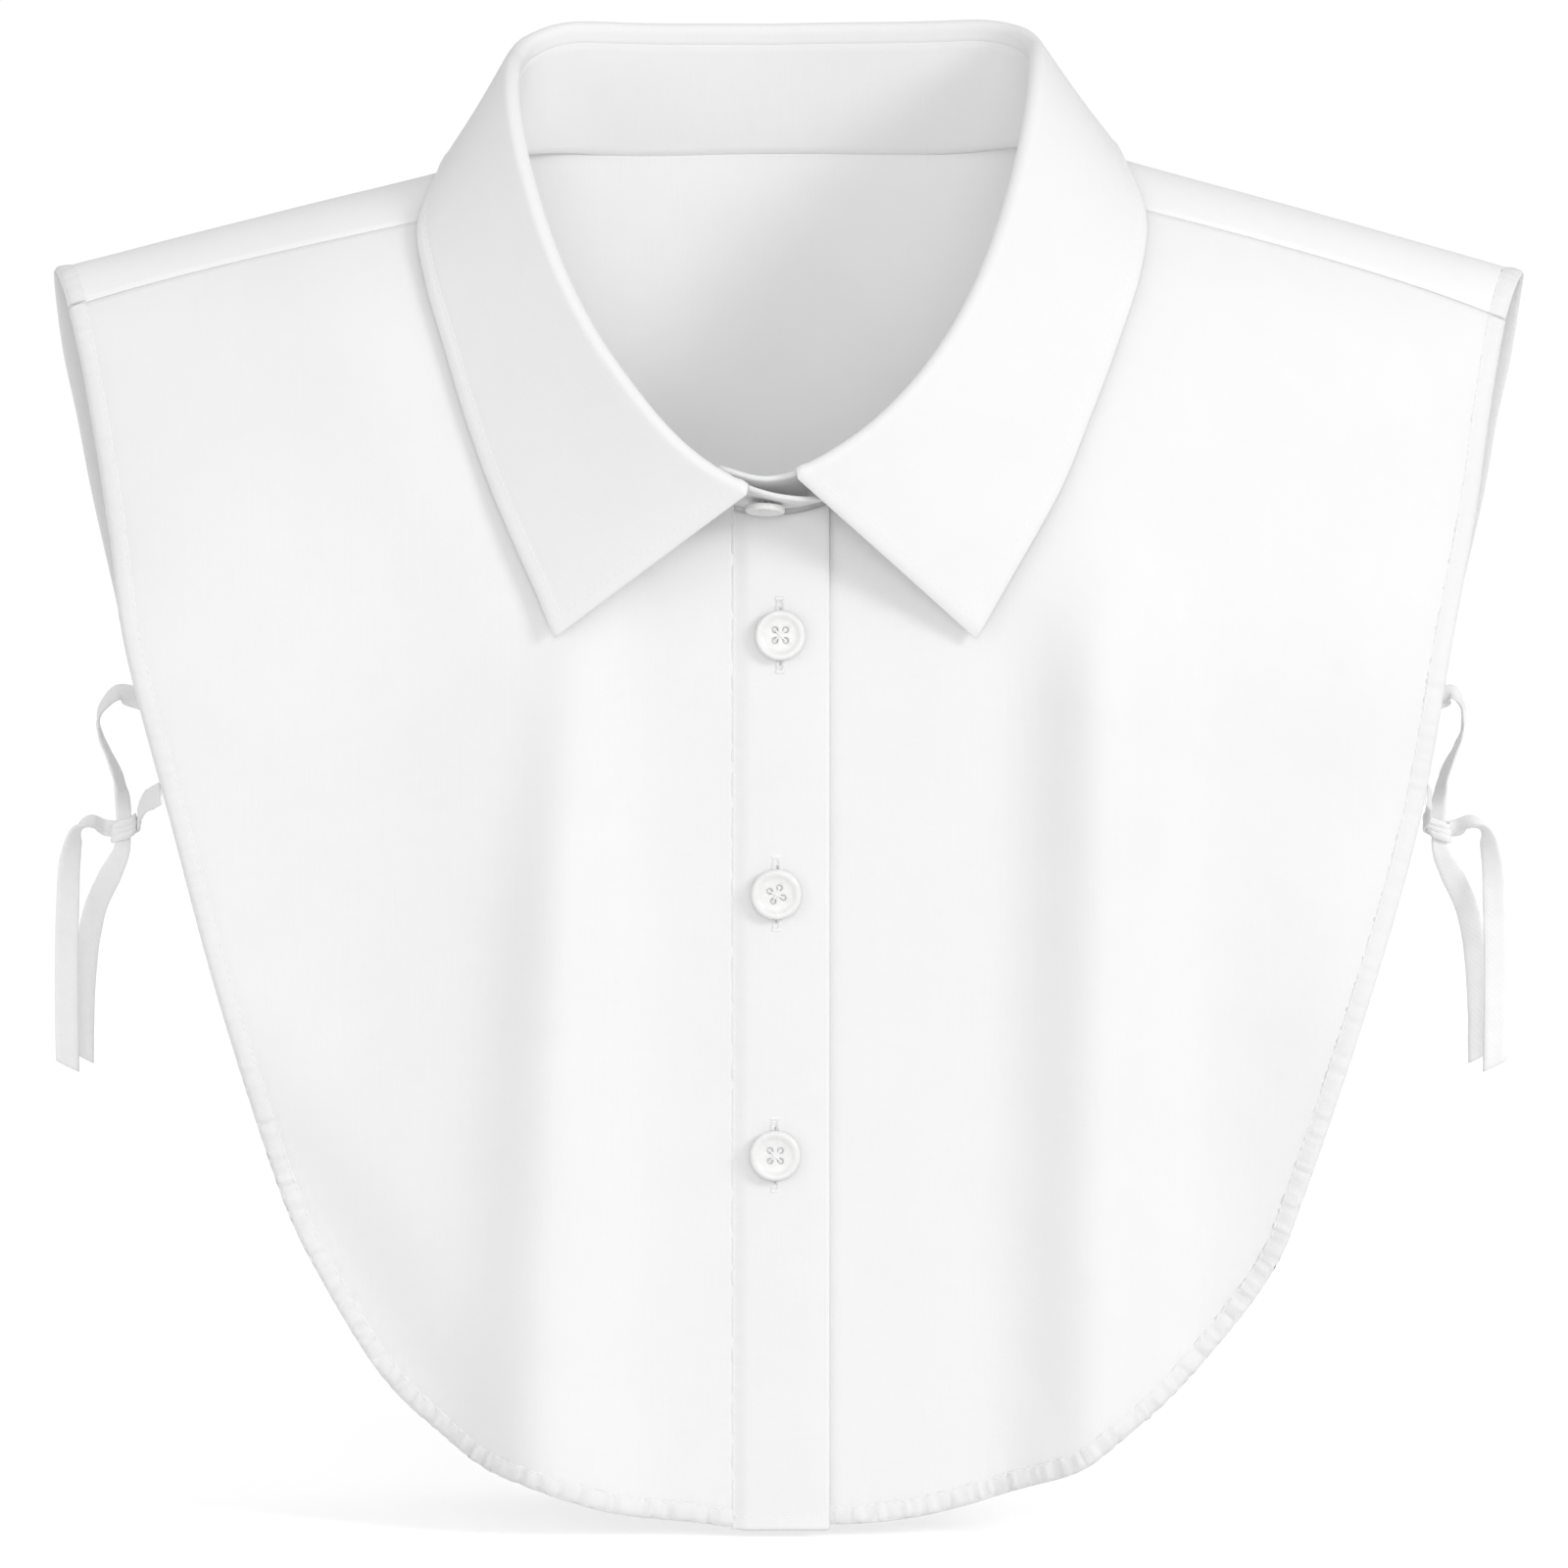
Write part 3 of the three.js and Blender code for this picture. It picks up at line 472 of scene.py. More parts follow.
# the folds below the collar points, the sides that hang forward, and the edges that turn back
frontFolds = table(
    "topX hemX topWidth hemWidth height topZ fullZ",
    (-47, -61, 8, 17, 9.5, -78, -200), (-68, -74, 20, 28, 3, -88, -160),
    (83, 80, 14, 17, 12.5, -80, -135), (-200, -200, 80, 80, 30, -50, -140),
    (200, 200, 80, 80, 34, -50, -140), (-315, -80, 20, 20, -5, -200, -260),
    (150, 150, 30, 30, 8, -150, -220),
)
foldTopZ = -105
# the cloth is a little proud under the outer edges of the collar
collarRises = [
    {"from": (-114, -36), "to": (-60, -122), "halfWidth": 20, "height": 1.8},
    {"from": (112, -42), "to": (68, -100), "halfWidth": 16, "height": 1.2},
]
frontHemZ, backHemZ = -343, -335.5
neckline = {"centreX": -2, "halfWidth": 69, "frontRun": 129, "backRun": 28}


def ridgeZ(x):
    look = shoulders
    outward = np.hypot(x, look["rounding"]) - math.hypot(look["neckX"], look["rounding"])
    fade = np.clip((look["halfSpan"] - x) / (look["halfSpan"] - look["liftFullX"]), 0, 1)
    lift = look["rightLift"] * ease(x, look["liftStartX"], look["liftFullX"]) * fade
    rise = look["neckRise"] * bellAt(np.abs(x), look["neckRiseX"], look["neckRiseWidth"])
    return lift + rise - look["slope"] * outward


def sideAt(x, isFront):
    across = np.clip(1 - (x / shoulders["halfSpan"]) ** 2, 0, 1)
    atNape = bellAt(x, 0, napeHalfWidth)

    def both(word, power):
        halves = []
        for half in (chest, shoulderBlades):
            middle, side, nape = half[word]
            halves.append(mix(side, middle, across**power) + nape * atNape)
        return np.where(isFront, *halves)

    depth, fall = both("depth", depthPower), both("fall", 1)
    return depth, fall, math.pi / 4 * (depth + fall)


def foldAt(x, z):
    spread = np.sqrt(np.clip((foldTopZ - z) / (foldTopZ - frontHemZ), 0, 1))
    proud = 0
    for fold in frontFolds:
        middle, width = (mix(fold["top" + word], fold["hem" + word], spread) for word in ("X", "Width"))
        proud = proud + fold["height"] * bellAt(x, middle, width) * ease(-z, -fold["topZ"], -fold["fullZ"])
    for rise in collarRises:
        (x0, z0), (x1, z1) = rise["from"], rise["to"]
        dx, dz = x1 - x0, z1 - z0
        t = np.clip(((x - x0) * dx + (z - z0) * dz) / (dx**2 + dz**2), 0, 1)
        away = np.hypot(x - x0 - t * dx, z - z0 - t * dz)
        proud = proud + rise["height"] * bellAt(away, 0, rise["halfWidth"])
    return proud


# run goes over the cloth from the ridge, above zero to the front and below zero to the back
def onBody(x, run):
    x, run = np.broadcast_arrays(np.asarray(x, float), np.asarray(run, float))
    isFront = run > 0
    depth, fall, turnRun = sideAt(x, isFront)
    angle = np.minimum(np.abs(run) / turnRun, 1) * math.pi / 2
    z = ridgeZ(x) - fall * (1 - np.cos(angle)) - np.maximum(np.abs(run) - turnRun, 0)
    y = depth * np.sin(angle)
    return np.stack([x, np.where(isFront, -y - foldAt(x, z), y), z], -1)


def runAt(x, z, isFront):
    _, fall, turnRun = sideAt(x, isFront)
    drop = ridgeZ(x) - z
    turned = np.arccos(np.clip(1 - drop / fall, 0, 1)) / (math.pi / 2)
    run = np.where(drop < fall, turned * turnRun, turnRun + drop - fall)
    return run if isFront else -run


# the way over one millimetre of x and over one of run
def slopesAt(x, run):
    perX = onBody(x + 0.5, run) - onBody(x - 0.5, run)
    return perX, onBody(x, run + 0.5) - onBody(x, run - 0.5)


def bodyNormal(x, run):
    perX, perRun = slopesAt(x, run)
    return unit(np.cross(perRun, perX))


def lifted(x, run, lift):
    return onBody(x, run) + bodyNormal(x, run) * np.asarray(lift, float)[..., None]


# turn 0 is the nape, 180 the throat, below zero the viewer's left
def necklineAt(turn):
    turn = np.asarray(turn, float)
    run = np.where(np.abs(turn) > 90, neckline["frontRun"], neckline["backRun"])
    x = neckline["centreX"] + neckline["halfWidth"] * np.sin(np.radians(turn))
    return np.stack([x, -run * np.cos(np.radians(turn))], -1)


shoulderSeam = {"neckTurn": 107, "left": (-181.5, 24), "right": (184.5, 26.5), "tuck": 0.6}
frontOutline = table(
    "z left right",
    (-64.8, 175.4, 180), (-90.6, 171, 176), (-119.6, 166.7, 170.2), (-164.1, 155, 162),
    (-209, 143, 149.2), (-257.5, 127.8, 133.2), (-279.8, 117.6, 123.8),
    (-304.8, 102.2, 104.3), (-319.6, 87, 87.5), (-329.7, 71.8, 72.2), (-338.5, 46.2, 44.5),
    (-342.5, 18, 18),
)
backTip = {"left": 185.2, "right": 189.2}
backOutline = table(
    "z left right",
    (-42, 184.6, 188), (-68, 179.8, 183), (-98, 173.8, 177.3), (-167, 157.3, 160),
    (-211, 142, 146.5), (-259, 123, 127), (-285, 109, 112), (-306, 92, 93.5),
    (-320, 73, 73.5), (-331, 44, 44),
)
panel = {
    "thick": 0.5, "columns": 102, "rows": 150, "backRows": 120, "sideShare": 0.6,
    "frontNeckShare": 8 / 17, "backNeckShare": 11 / 17,
}
hem = {
    "stitchIn": 4.3, "stitchFront": 0.36, "stitchBack": -0.9, "step": 0.9,
    "pucker": 0.42, "period": 4.6, "reach": 5.5, "puff": 0.7,
    "drift": 0.25, "driftPeriod": 31, "driftReach": 19.25, "puffPeriod": 0.7, "puffSeed": 5,
    "rowPoints": 400, "outlinePoints": 600,
    # the sides are puckered less than the hem proper, which starts between these depths
    "sideShare": 0.3, "puckerDepths": (190, 320), "puffDepths": (230, 320),
    # how far in from the edge and how far out of the cloth the hem's section runs
    "section": [
        (4.9, 0.2), (4.4, 0.28), (3.6, 0.52), (2.5, 0.64), (1.3, 0.62), (0.4, 0.45), (0.02, 0.05),
        (0.05, -0.4), (0.5, -0.8), (1.9, -0.95), (3.4, -0.95), (4.4, -0.8), (4.7, -0.5), (4.7, -0.2),
    ],
}
seamStitch = {"pitch": 2.2, "length": 1.7, "width": 0.3, "lift": -0.06}
overFront = {
    "side": "left", "name": "over_front_cloth", "node": "over_front", "edgeX": -12.1, "seed": 7,
}
underFront = {
    "side": "right", "name": "under_front_cloth", "node": "under_front", "edgeX": -11.8, "seed": 19,
    "lift": -0.8, "easeFromX": 14, "easeToX": 45,
}
backCut = {"name": "back_cloth", "node": "back_panel", "seed": 31, "puckerShare": 0.8}


def sideOf(side):
    return -1 if side == "left" else 1


def splineThrough(points):
    points = np.asarray(points, float)
    last = len(points) - 1

    def at(t):
        place = np.asarray(t, float) * last
        first = np.minimum(np.floor(place).astype(int), last - 1)
        w = (place - first)[:, None]
        p0, p1 = points[np.maximum(first - 1, 0)], points[first]
        p2, p3 = points[first + 1], points[np.minimum(first + 2, last)]
        v0, v1 = (p2 - p0) / 2, (p3 - p1) / 2
        cubic, square = 2 * p1 - 2 * p2 + v0 + v1, -3 * p1 + 3 * p2 - 2 * v0 - v1
        return cubic * w**3 + square * w**2 + v0 * w + p1

    steps = np.linspace(0, 1, 201)
    along = lengthsAlong(at(steps))
    return lambda share: at(np.interp(np.asarray(share) * along[-1], along, steps))


def outlineOf(side, rows, isFront, start, finish):
    reach = sideOf(side) * column(rows, side)
    runs = runAt(reach, column(rows, "z"), isFront)
    return splineThrough([start, *np.stack([reach, runs], -1), finish])


def necklineAndSeam(startTurn, side, neckShare, below):
    neckTurn = shoulderSeam["neckTurn"]
    neckEnd = necklineAt(sideOf(side) * neckTurn) + (0, below)
    runPerDegree = math.radians(neckline["frontRun"] * math.sin(math.radians(neckTurn)))
    lastTurn = sideOf(side) * (neckTurn + below / runPerDegree)
    seamEnd = np.add(shoulderSeam[side], (0, below))

    def at(t):
        t = np.asarray(t, float)
        neck = necklineAt(mix(startTurn, lastTurn, np.minimum(t / neckShare, 1)))
        seam = mix(neckEnd, seamEnd, np.clip((t - neckShare) / (1 - neckShare), 0, 1)[:, None])
        return np.where((t < neckShare)[:, None], neck, seam)

    return at


def turnAtX(x, side):
    fromCentre = (x - neckline["centreX"]) / neckline["halfWidth"]
    return side * 180 - math.degrees(math.asin(fromCentre))


def coons(top, bottom, left, right, u, v):
    a, b, c, d = top[0], top[-1], bottom[-1], bottom[0]
    u, v = u[None, :, None], v[:, None, None]
    edges = top[None] * (1 - v) + bottom[None] * v + left[:, None] * (1 - u) + right[:, None] * u
    return edges - a * (1 - u) * (1 - v) - b * u * (1 - v) - c * u * v - d * (1 - u) * v


def hemShare(points, depths):
    return mix(hem["sideShare"], 1, ease(-points[:, 2], *depths))


# the sewn edge draws the cloth into small puckers, so every edge has its own row of them
class EdgeRow:
    def __init__(self, flatPath, seed, strength):
        self.flat = resample(flatPath, hem["rowPoints"])
        self.points = onBody(self.flat[:, 0], self.flat[:, 1])
        self.along = lengthsAlong(self.points)
        strength = strength * hemShare(self.points, hem["puckerDepths"])
        self.waves = unevenWaves(self.along, hem["period"], seed) * strength
        drift = unevenWaves(self.along, hem["driftPeriod"], seed + 1)
        self.drift = drift * hem["drift"] * strength

    def ripple(self, points):
        nearest, away = np.zeros(len(points), int), np.zeros(len(points))
        for start in range(0, len(points), 2000):
            part = slice(start, start + 2000)
            distance = ((points[part, None, ::2] - self.points[None, :, ::2]) ** 2).sum(-1)
            nearest[part], away[part] = distance.argmin(1), np.sqrt(distance.min(1))
        fade, wide = bellAt(away, 0, hem["reach"]), bellAt(away, 0, hem["driftReach"])
        return hem["pucker"] * (self.waves[nearest] * fade + self.drift[nearest] * wide)


def onCloth(flat, lift, edgeRow=None):
    flat = np.asarray(flat, float)
    points = onBody(flat[..., 0], flat[..., 1])
    out = bodyNormal(flat[..., 0], flat[..., 1])
    extra = 0
    if edgeRow is not None:
        extra = edgeRow.ripple(points.reshape(-1, 3)).reshape(points.shape[:-1])
    return points + out * (np.asarray(lift) + extra)[..., None]


def makeHem(name, edgeRow, inside, liftAt):
    flat = resample(edgeRow.flat, int(edgeRow.along[-1] / hem["step"]))
    x, run = flat.T
    edge = onBody(x, run)
    out = bodyNormal(x, run)
    inward = unit(np.cross(out, slopeOf(edge)))
    middle = len(x) // 2
    if dot(onBody(*inside) - edge[middle], inward[middle]) < 0:
        inward = -inward
    perX, perRun = slopesAt(x, run)
    xx, xr, rr = dot(perX, perX), dot(perX, perRun), dot(perRun, perRun)
    ix, ir = dot(inward, perX), dot(inward, perRun)
    spread = xx * rr - xr**2
    step = np.stack([(ix * rr - ir * xr) / spread, (ir * xx - ix * xr) / spread], -1)
    strength = hemShare(edge, hem["puffDepths"])
    period = hem["period"] * hem["puffPeriod"]
    puff = 1 + hem["puff"] * strength * unevenWaves(lengthsAlong(edge), period, hem["puffSeed"])
    rings = []
    for inFrom, rise in hem["section"]:
        here = flat + step * inFrom
        swell = rise * puff if 0.5 < rise else rise
        rings.append(onCloth(here, liftAt(here[:, 0]) + swell, edgeRow))
    piece = ringSkin(name, np.stack(rings, 1), poplinCloth)
    line = flat + step * hem["stitchIn"]
    for ending, rise, normals in (("", hem["stitchFront"], out), ("_inside", hem["stitchBack"], -out)):
        stitchRow(name + "_stitches" + ending, onCloth(line, liftAt(line[:, 0]) + rise, edgeRow), normals)
    return piece


def frontPanel(look, liftAt):
    side, name, centreX = look["side"], look["name"], look["edgeX"]
    below = shoulderSeam["tuck"]
    seamEnd = np.add(shoulderSeam[side], (0, below))
    u, v = np.linspace(0, 1, panel["columns"] + 1), np.linspace(0, 1, panel["rows"] + 1)
    top = necklineAndSeam(turnAtX(centreX, sideOf(side)), side, panel["frontNeckShare"], below)(u)
    hemPoint = np.array([centreX, float(runAt(centreX, frontHemZ, True))])
    outline = outlineOf(side, frontOutline, True, seamEnd, hemPoint)
    bottom = outline(mix(1, panel["sideShare"], u))
    right = outline(mix(0, panel["sideShare"], v))
    left = mix(top[0], hemPoint, v[:, None])
    flat = coons(top, bottom, left, right, u, v)
    edgeRow = EdgeRow(outline(np.linspace(0, 1, hem["outlinePoints"])), look["seed"], 1)
    grid = onCloth(flat, liftAt(flat[..., 0]), edgeRow)
    piece = clothWall(name, grid, panel["thick"], poplinCloth, flat)
    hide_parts(look["node"])
    inside = (sideOf(side) * 80, float(runAt(80, -180, True)))
    edge = makeHem(name + "_hem", edgeRow, inside, liftAt)
    return piece, edge, grid


def noLift(x):
    return np.zeros_like(x)


def underLift(x):
    look = underFront
    return look["lift"] * (1 - ease(x, look["easeFromX"], look["easeToX"]))


def backPanel():
    hemPoint = np.array([0, float(runAt(0, backHemZ, False))])
    u = np.linspace(0, 1, 2 * panel["columns"] + 1)
    v = np.linspace(0, 1, panel["backRows"] + 1)
    outlines, tops = {}, {}
    for side in ("left", "right"):
        reach = sideOf(side) * backTip[side]
        rows = [{"z": float(ridgeZ(reach)), side: backTip[side]}, *backOutline]
        outlines[side] = outlineOf(side, rows, False, shoulderSeam[side], hemPoint)
        tops[side] = necklineAndSeam(0, side, panel["backNeckShare"], 0)
    isLeft = (u < 0.5)[:, None]
    across = np.abs(2 * u - 1)
    top = np.where(isLeft, tops["left"](across), tops["right"](across))
    shares = mix(1, panel["sideShare"], across)
    bottom = np.where(isLeft, outlines["left"](shares), outlines["right"](shares))
    left, right = (outlines[side](mix(0, panel["sideShare"], v)) for side in ("left", "right"))
    flat = coons(top, bottom, left, right, u, v)
    whole = np.concatenate([
        outlines["left"](np.linspace(0, 1, 500)), outlines["right"](np.linspace(1, 0, 500))[1:],
    ])
    edgeRow = EdgeRow(whole, backCut["seed"], backCut["puckerShare"])
    grid = onCloth(flat, np.zeros(flat.shape[:-1]), edgeRow)
    piece = clothWall(backCut["name"], grid, panel["thick"], shadedPoplin, flat)
    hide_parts(backCut["node"])
    inside = (0, float(runAt(0, -200, False)))
    edge = makeHem(backCut["name"] + "_hem", edgeRow, inside, noLift)
    return piece, edge, grid


overCloth, overHem, overGrid = frontPanel(overFront, noLift)
underCloth, underHem, underGrid = frontPanel(underFront, underLift)
backCloth, backHem, backGrid = backPanel()
print("panels and hems made")


placket = {
    "leftX": -12.5, "rightX": 12, "halfWidth": 12, "lift": 0.8, "leftLift": 0.12, "riseWidth": 5,
    "topZ": -86, "hemZ": -343.8, "neckDrop": 2.6, "thick": 0.9, "leftThick": 0.32,
    "columns": 44, "rows": 330, "stitchShare": -0.95, "hemStitchRow": 5, "waver": 0.09,
    # period, seed and reach of the waver of its left and right edges
    "wavers": ((9, 3, 3), (23, 4, 5)),
    # the columns that the slots of the buttonholes are cut along, as shares of the half width
    "slotColumns": (-0.03, -0.012, 0.012, 0.03),
}
buttonPlaces = table(
    "name x z spin",
    ("button_1", -0.2, -115.4, 0), ("button_2", -1.2, -181.2, 20),
    ("button_3", -1.5, -248, 0),
)
buttonhole = {
    "length": 18, "gape": 0.8, "spread": 0.8, "taper": 5, "barWidth": 3, "barPitch": 0.42,
    "endGap": 1.5, "lean": 0.08, "shift": 0.06, "seed": 11,
}
satinStitch = {"length": 1.1, "width": 0.44, "lift": 0.02, "pitch": 0.44}


def slotCentreX(z):
    places = sorted(buttonPlaces, key=lambda place: place["z"])
    return np.interp(z, column(places, "z"), column(places, "x"))


def makePlacket():
    look = placket
    columns = np.linspace(-1, 1, look["columns"] - 3)
    across = np.sort(np.concatenate([columns, look["slotColumns"]]))
    v = np.linspace(0, 1, look["rows"] + 1)
    zs = mix(look["topZ"], look["hemZ"], v)
    sideways = np.where(across < 0, -across * look["leftX"], across * look["rightX"])
    xs = slotCentreX(zs)[:, None] * (1 - across[None] ** 2) + sideways[None]
    topRun = np.array([necklineAt(turnAtX(float(x), 1))[1] for x in xs[0]]) + look["neckDrop"]
    endRun = runAt(xs[-1], look["hemZ"], True)
    runs = mix(topRun[None], endRun[None], v[:, None])
    flat = np.stack([xs, runs], -1)
    points = onBody(xs, runs)
    fromLeft, fromRight = ((1 + way * across[None]) * look["halfWidth"] for way in (1, -1))
    along = -points[..., 2]
    waver = 0
    for fromEdge, (period, seed, reach) in zip((fromLeft, fromRight), look["wavers"]):
        waver = waver + unevenWaves(along, period, seed) * bellAt(fromEdge, 0, reach)
    risen = ease(fromLeft, 0, look["riseWidth"])
    lift = mix(look["leftLift"], look["lift"], risen) + look["waver"] * waver
    thick = mix(look["leftThick"], look["thick"], risen) + 0 * points[..., 0]
    grid = points + bodyNormal(xs, runs) * lift[..., None]
    kept = np.ones((len(v) - 1, len(across) - 1), bool)
    inColumns = (across[:-1] >= look["slotColumns"][0]) & (across[:-1] < look["slotColumns"][-1])
    for place in buttonPlaces:
        inSlot = np.abs(points[:-1, :-1, 2] - place["z"]) < buttonhole["length"] / 2 - buttonhole["endGap"]
        kept &= ~(inSlot & inColumns[None])
    piece = clothWall("placket_cloth", grid, thick, doublePoplin, flat, kept)
    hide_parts("placket")
    out = gridNormals(grid)
    out = out * np.sign(-out[..., 1:2])
    return piece, grid, grid + out * thick[..., None] / 2, out, across


placketCloth, placketGrid, placketFace, placketNormals, placketAcross = makePlacket()


def alongPlacket(shareAcross):
    spot = np.abs(placketAcross - shareAcross).argmin()
    return placketFace[:, spot], placketNormals[:, spot]


stitchRow("placket_stitches", *alongPlacket(placket["stitchShare"]))
hemRow = -placket["hemStitchRow"]
stitchRow("placket_hem_stitches", placketFace[hemRow], placketNormals[hemRow])


def matrixAt(right, up, out, place):
    matrix = Matrix.Identity(4)
    for number, vector in enumerate((right, up, out, place)):
        for row in range(3):
            matrix[row][number] = float(vector[row])
    return matrix


# z out of the cloth, y up along it
def onPlacket(place, lift):
    x, run = place["x"], float(runAt(place["x"], place["z"], True))
    out = bodyNormal(x, run)
    right = unit(np.cross(onBody(x, run - 1) - onBody(x, run + 1), out))
    matrix = matrixAt(right, np.cross(out, right), out, lifted(x, run, lift))
    return matrix @ Matrix.Rotation(math.radians(place["spin"]), 4, "Z")


def makeButtonhole(place):
    look = buttonhole
    frameOf = onPlacket({**place, "spin": 0}, placket["lift"] + placket["thick"] / 2)
    right, up, out = (np.array(frameOf.col[number])[:3] for number in range(3))
    centre = np.array(frameOf.translation)
    half = look["length"] / 2
    heights = np.arange(-half, half + 0.01, satinStitch["pitch"])
    random = np.random.default_rng(look["seed"])
    at, forward = [], []
    for side in (-1, 1):
        fromEnd = half - np.abs(heights)
        gape = look["gape"] / 2 + look["spread"] * (np.clip(fromEnd / look["taper"], 0, 1) - 0.35)
        offset = side * (gape + satinStitch["length"] / 2 - 0.1)
        lean = random.uniform(-look["lean"], look["lean"], len(heights))
        offset = offset + random.uniform(-look["shift"], look["shift"], len(heights))
        at.append(centre + heights[:, None] * up + offset[:, None] * right)
        forward.append(unit(right[None] + lean[:, None] * up))
    for end in (-1, 1):
        bars = np.arange(-look["barWidth"] / 2, look["barWidth"] / 2 + 0.01, look["barPitch"])
        at.append(centre + end * (half + 0.3) * up + bars[:, None] * right * 0.62)
        forward.append(np.broadcast_to(up, (len(bars), 3)))
    at = np.concatenate(at)
    ups = np.broadcast_to(out, at.shape)
    name = place["name"] + "_hole_thread"
    threads(name, at, np.concatenate(forward), ups, satinStitch)


for place in buttonPlaces:
    makeButtonhole(place)
print("placket and buttonholes made")


stand = {
    "seat": 1.3, "endTurn": 190, "roundTurn": 8, "overlapOffset": 1, "overlapTurns": (150, 170),
    "flatHeight": 28, "thick": 1.25, "columns": 260, "rows": 16, "lap": 2.1, "topLap": 0.4,
}
standSections = table(
    "turn height leftLean rightLean",
    (0, 25.2, -6, -6), (45, 26, -7, -7), (70, 22.8, -10, -9), (90, 19.6, -11, -9),
    (110, 19, -1, -1), (130, 19, 13, 13), (150, 19, 36, 36), (165, 18.5, 58, 55),
    (180, 18, 75, 68), (190, 18, 83, 65),
)
leaf = {
    "leftEndTurn": 175.6, "rightEndTurn": 175.7, "seat": 0.7, "rise": 2.8, "rollRadius": 1.9,
    "bulge": -0.4, "sideX": 86, "backRun": 52, "edgeLift": 2.3, "backLift": 3.4, "tipLift": 4,
    "thick": 0.75, "columns": 300, "rows": (("rise", 3), ("roll", 12), ("fall", 44)),
    # the seam inside the edges swells, the stitches draw it in, and the edge itself thins out
    "stitchIn": 3.6, "swell": 0.32, "swellIn": 1.9, "swellWidth": 1.2, "drawIn": 0.2,
    "drawWidth": 0.6, "edgeThins": 0.35, "stitchFromRow": 15,
}
leafFrontEdge = table(
    "share left right z",
    (0, 86, 86, -3.4), (0.17, 92, 92.2, -16), (0.34, 90.3, 91.3, -28.7),
    (0.51, 85.3, 86, -45), (0.68, 79.2, 78.4, -64.2), (0.84, 71.3, 69.2, -84.5),
    (1, 56.8, 49.4, -116.4),
)


def standHeight(turn):
    return readRows(standSections, "turn", "height", np.abs(turn))


def standLean(turn):
    leans = (readRows(standSections, "turn", side + "Lean", np.abs(turn)) for side in ("left", "right"))
    return np.where(np.asarray(turn) < 0, *leans)


def standFrame(turn):
    turn = np.asarray(turn, float)

    def rootAt(some):
        spot = necklineAt(some)
        return onBody(spot[..., 0], spot[..., 1])

    forward = unit(rootAt(turn + 1) - rootAt(turn - 1))
    level = unit(np.stack([-forward[..., 1], forward[..., 0], 0 * turn], -1))
    lean = np.radians(standLean(turn))[..., None]
    up = np.cos(lean) * np.array([0, 0, 1.0]) + np.sin(lean) * level
    out = unit(np.cross(up, forward))
    return rootAt(turn), up, out, np.cross(out, up)


def inStand(turn, height, outward):
    turn = np.asarray(turn, float)
    root, up, out, _ = standFrame(turn)
    side = np.where(turn < 0, 1, -1)
    offset = side * stand["overlapOffset"] * ease(np.abs(turn), *stand["overlapTurns"])
    return root + up * (stand["seat"] + height)[..., None] + out * (offset + outward)[..., None]


def makeStand():
    look = stand
    turns = np.linspace(-look["endTurn"], look["endTurn"], look["columns"] + 1)[None]
    v = np.linspace(0, 1, look["rows"] + 1)[:, None]
    past = np.clip((np.abs(turns) - look["endTurn"] + look["roundTurn"]) / look["roundTurn"], 0, 0.93)
    shrink = np.where(turns < 0, np.sqrt(1 - past**2), 1)
    turns, v, shrink = np.broadcast_arrays(turns, v, shrink)
    heights = mix(-look["lap"], standHeight(turns) + look["topLap"], 0.5 + (v - 0.5) * shrink)
    grid = inStand(turns, heights, 0 * turns)
    around = lengthsAlong(grid[look["rows"] // 2])
    flat = np.stack(np.broadcast_arrays(around[None], v * look["flatHeight"]), -1)
    piece = clothWall("stand_cloth", grid, look["thick"], standPoplin, flat)
    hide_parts("collar_stand")
    return piece, grid


def leafEdge(turn):
    away = np.abs(turn)
    side = np.sign(turn)
    angle = np.radians(turn)
    backX, backRun = leaf["sideX"] * np.sin(angle), -leaf["backRun"] * np.cos(angle)
    end = np.where(side < 0, leaf["leftEndTurn"], leaf["rightEndTurn"])
    share = np.clip((away - 90) / (end - 90), 0, 1)
    left, right = (readRows(leafFrontEdge, "share", word, share) for word in ("left", "right"))
    x = np.where(side < 0, left, right)
    run = runAt(-x, readRows(leafFrontEdge, "share", "z", share), True)
    frontX = side * x
    lift = mix(leaf["edgeLift"], leaf["tipLift"], ease(share, 0.7, 1))
    isBack = away <= 90
    backLift = mix(leaf["edgeLift"], leaf["backLift"], np.cos(angle))
    return lifted(*(
        np.where(isBack, behind, before)
        for behind, before in ((backX, frontX), (backRun, run), (backLift, lift))
    ))


def leafPoints(turns, stops):
    look = leaf
    _, up, out, side = standFrame(turns)
    base = inStand(turns, standHeight(turns) + look["seat"], 0 * turns)
    reach = leafEdge(turns) - base
    edgeOut, edgeUp, edgeSide = dot(reach, out), dot(reach, up), dot(reach, side)
    radius, rise = look["rollRadius"], look["rise"]
    toEdge = np.hypot(edgeOut - radius, edgeUp - rise)
    leave = np.arctan2(edgeUp - rise, edgeOut - radius) + np.arccos(radius / toEdge)
    rows = []
    for stage, t in stops:
        sideways = 0 * turns
        if stage == "rise":
            outward, upward = 0 * turns, 0 * turns + rise * t
        if stage == "roll":
            angle = mix(math.pi, leave, t)
            outward, upward = radius * (1 + np.cos(angle)), rise + radius * np.sin(angle)
        if stage == "fall":
            startOut, startUp = radius * (1 + np.cos(leave)), rise + radius * np.sin(leave)
            proud = look["bulge"] * math.sin(math.pi * t)
            outward = mix(startOut, edgeOut, t) + proud * np.cos(leave)
            upward = mix(startUp, edgeUp, t) + proud * np.sin(leave)
            sideways = edgeSide * t
        rows.append(base + out * outward[:, None] + up * upward[:, None] + side * sideways[:, None])
    return np.stack(rows)


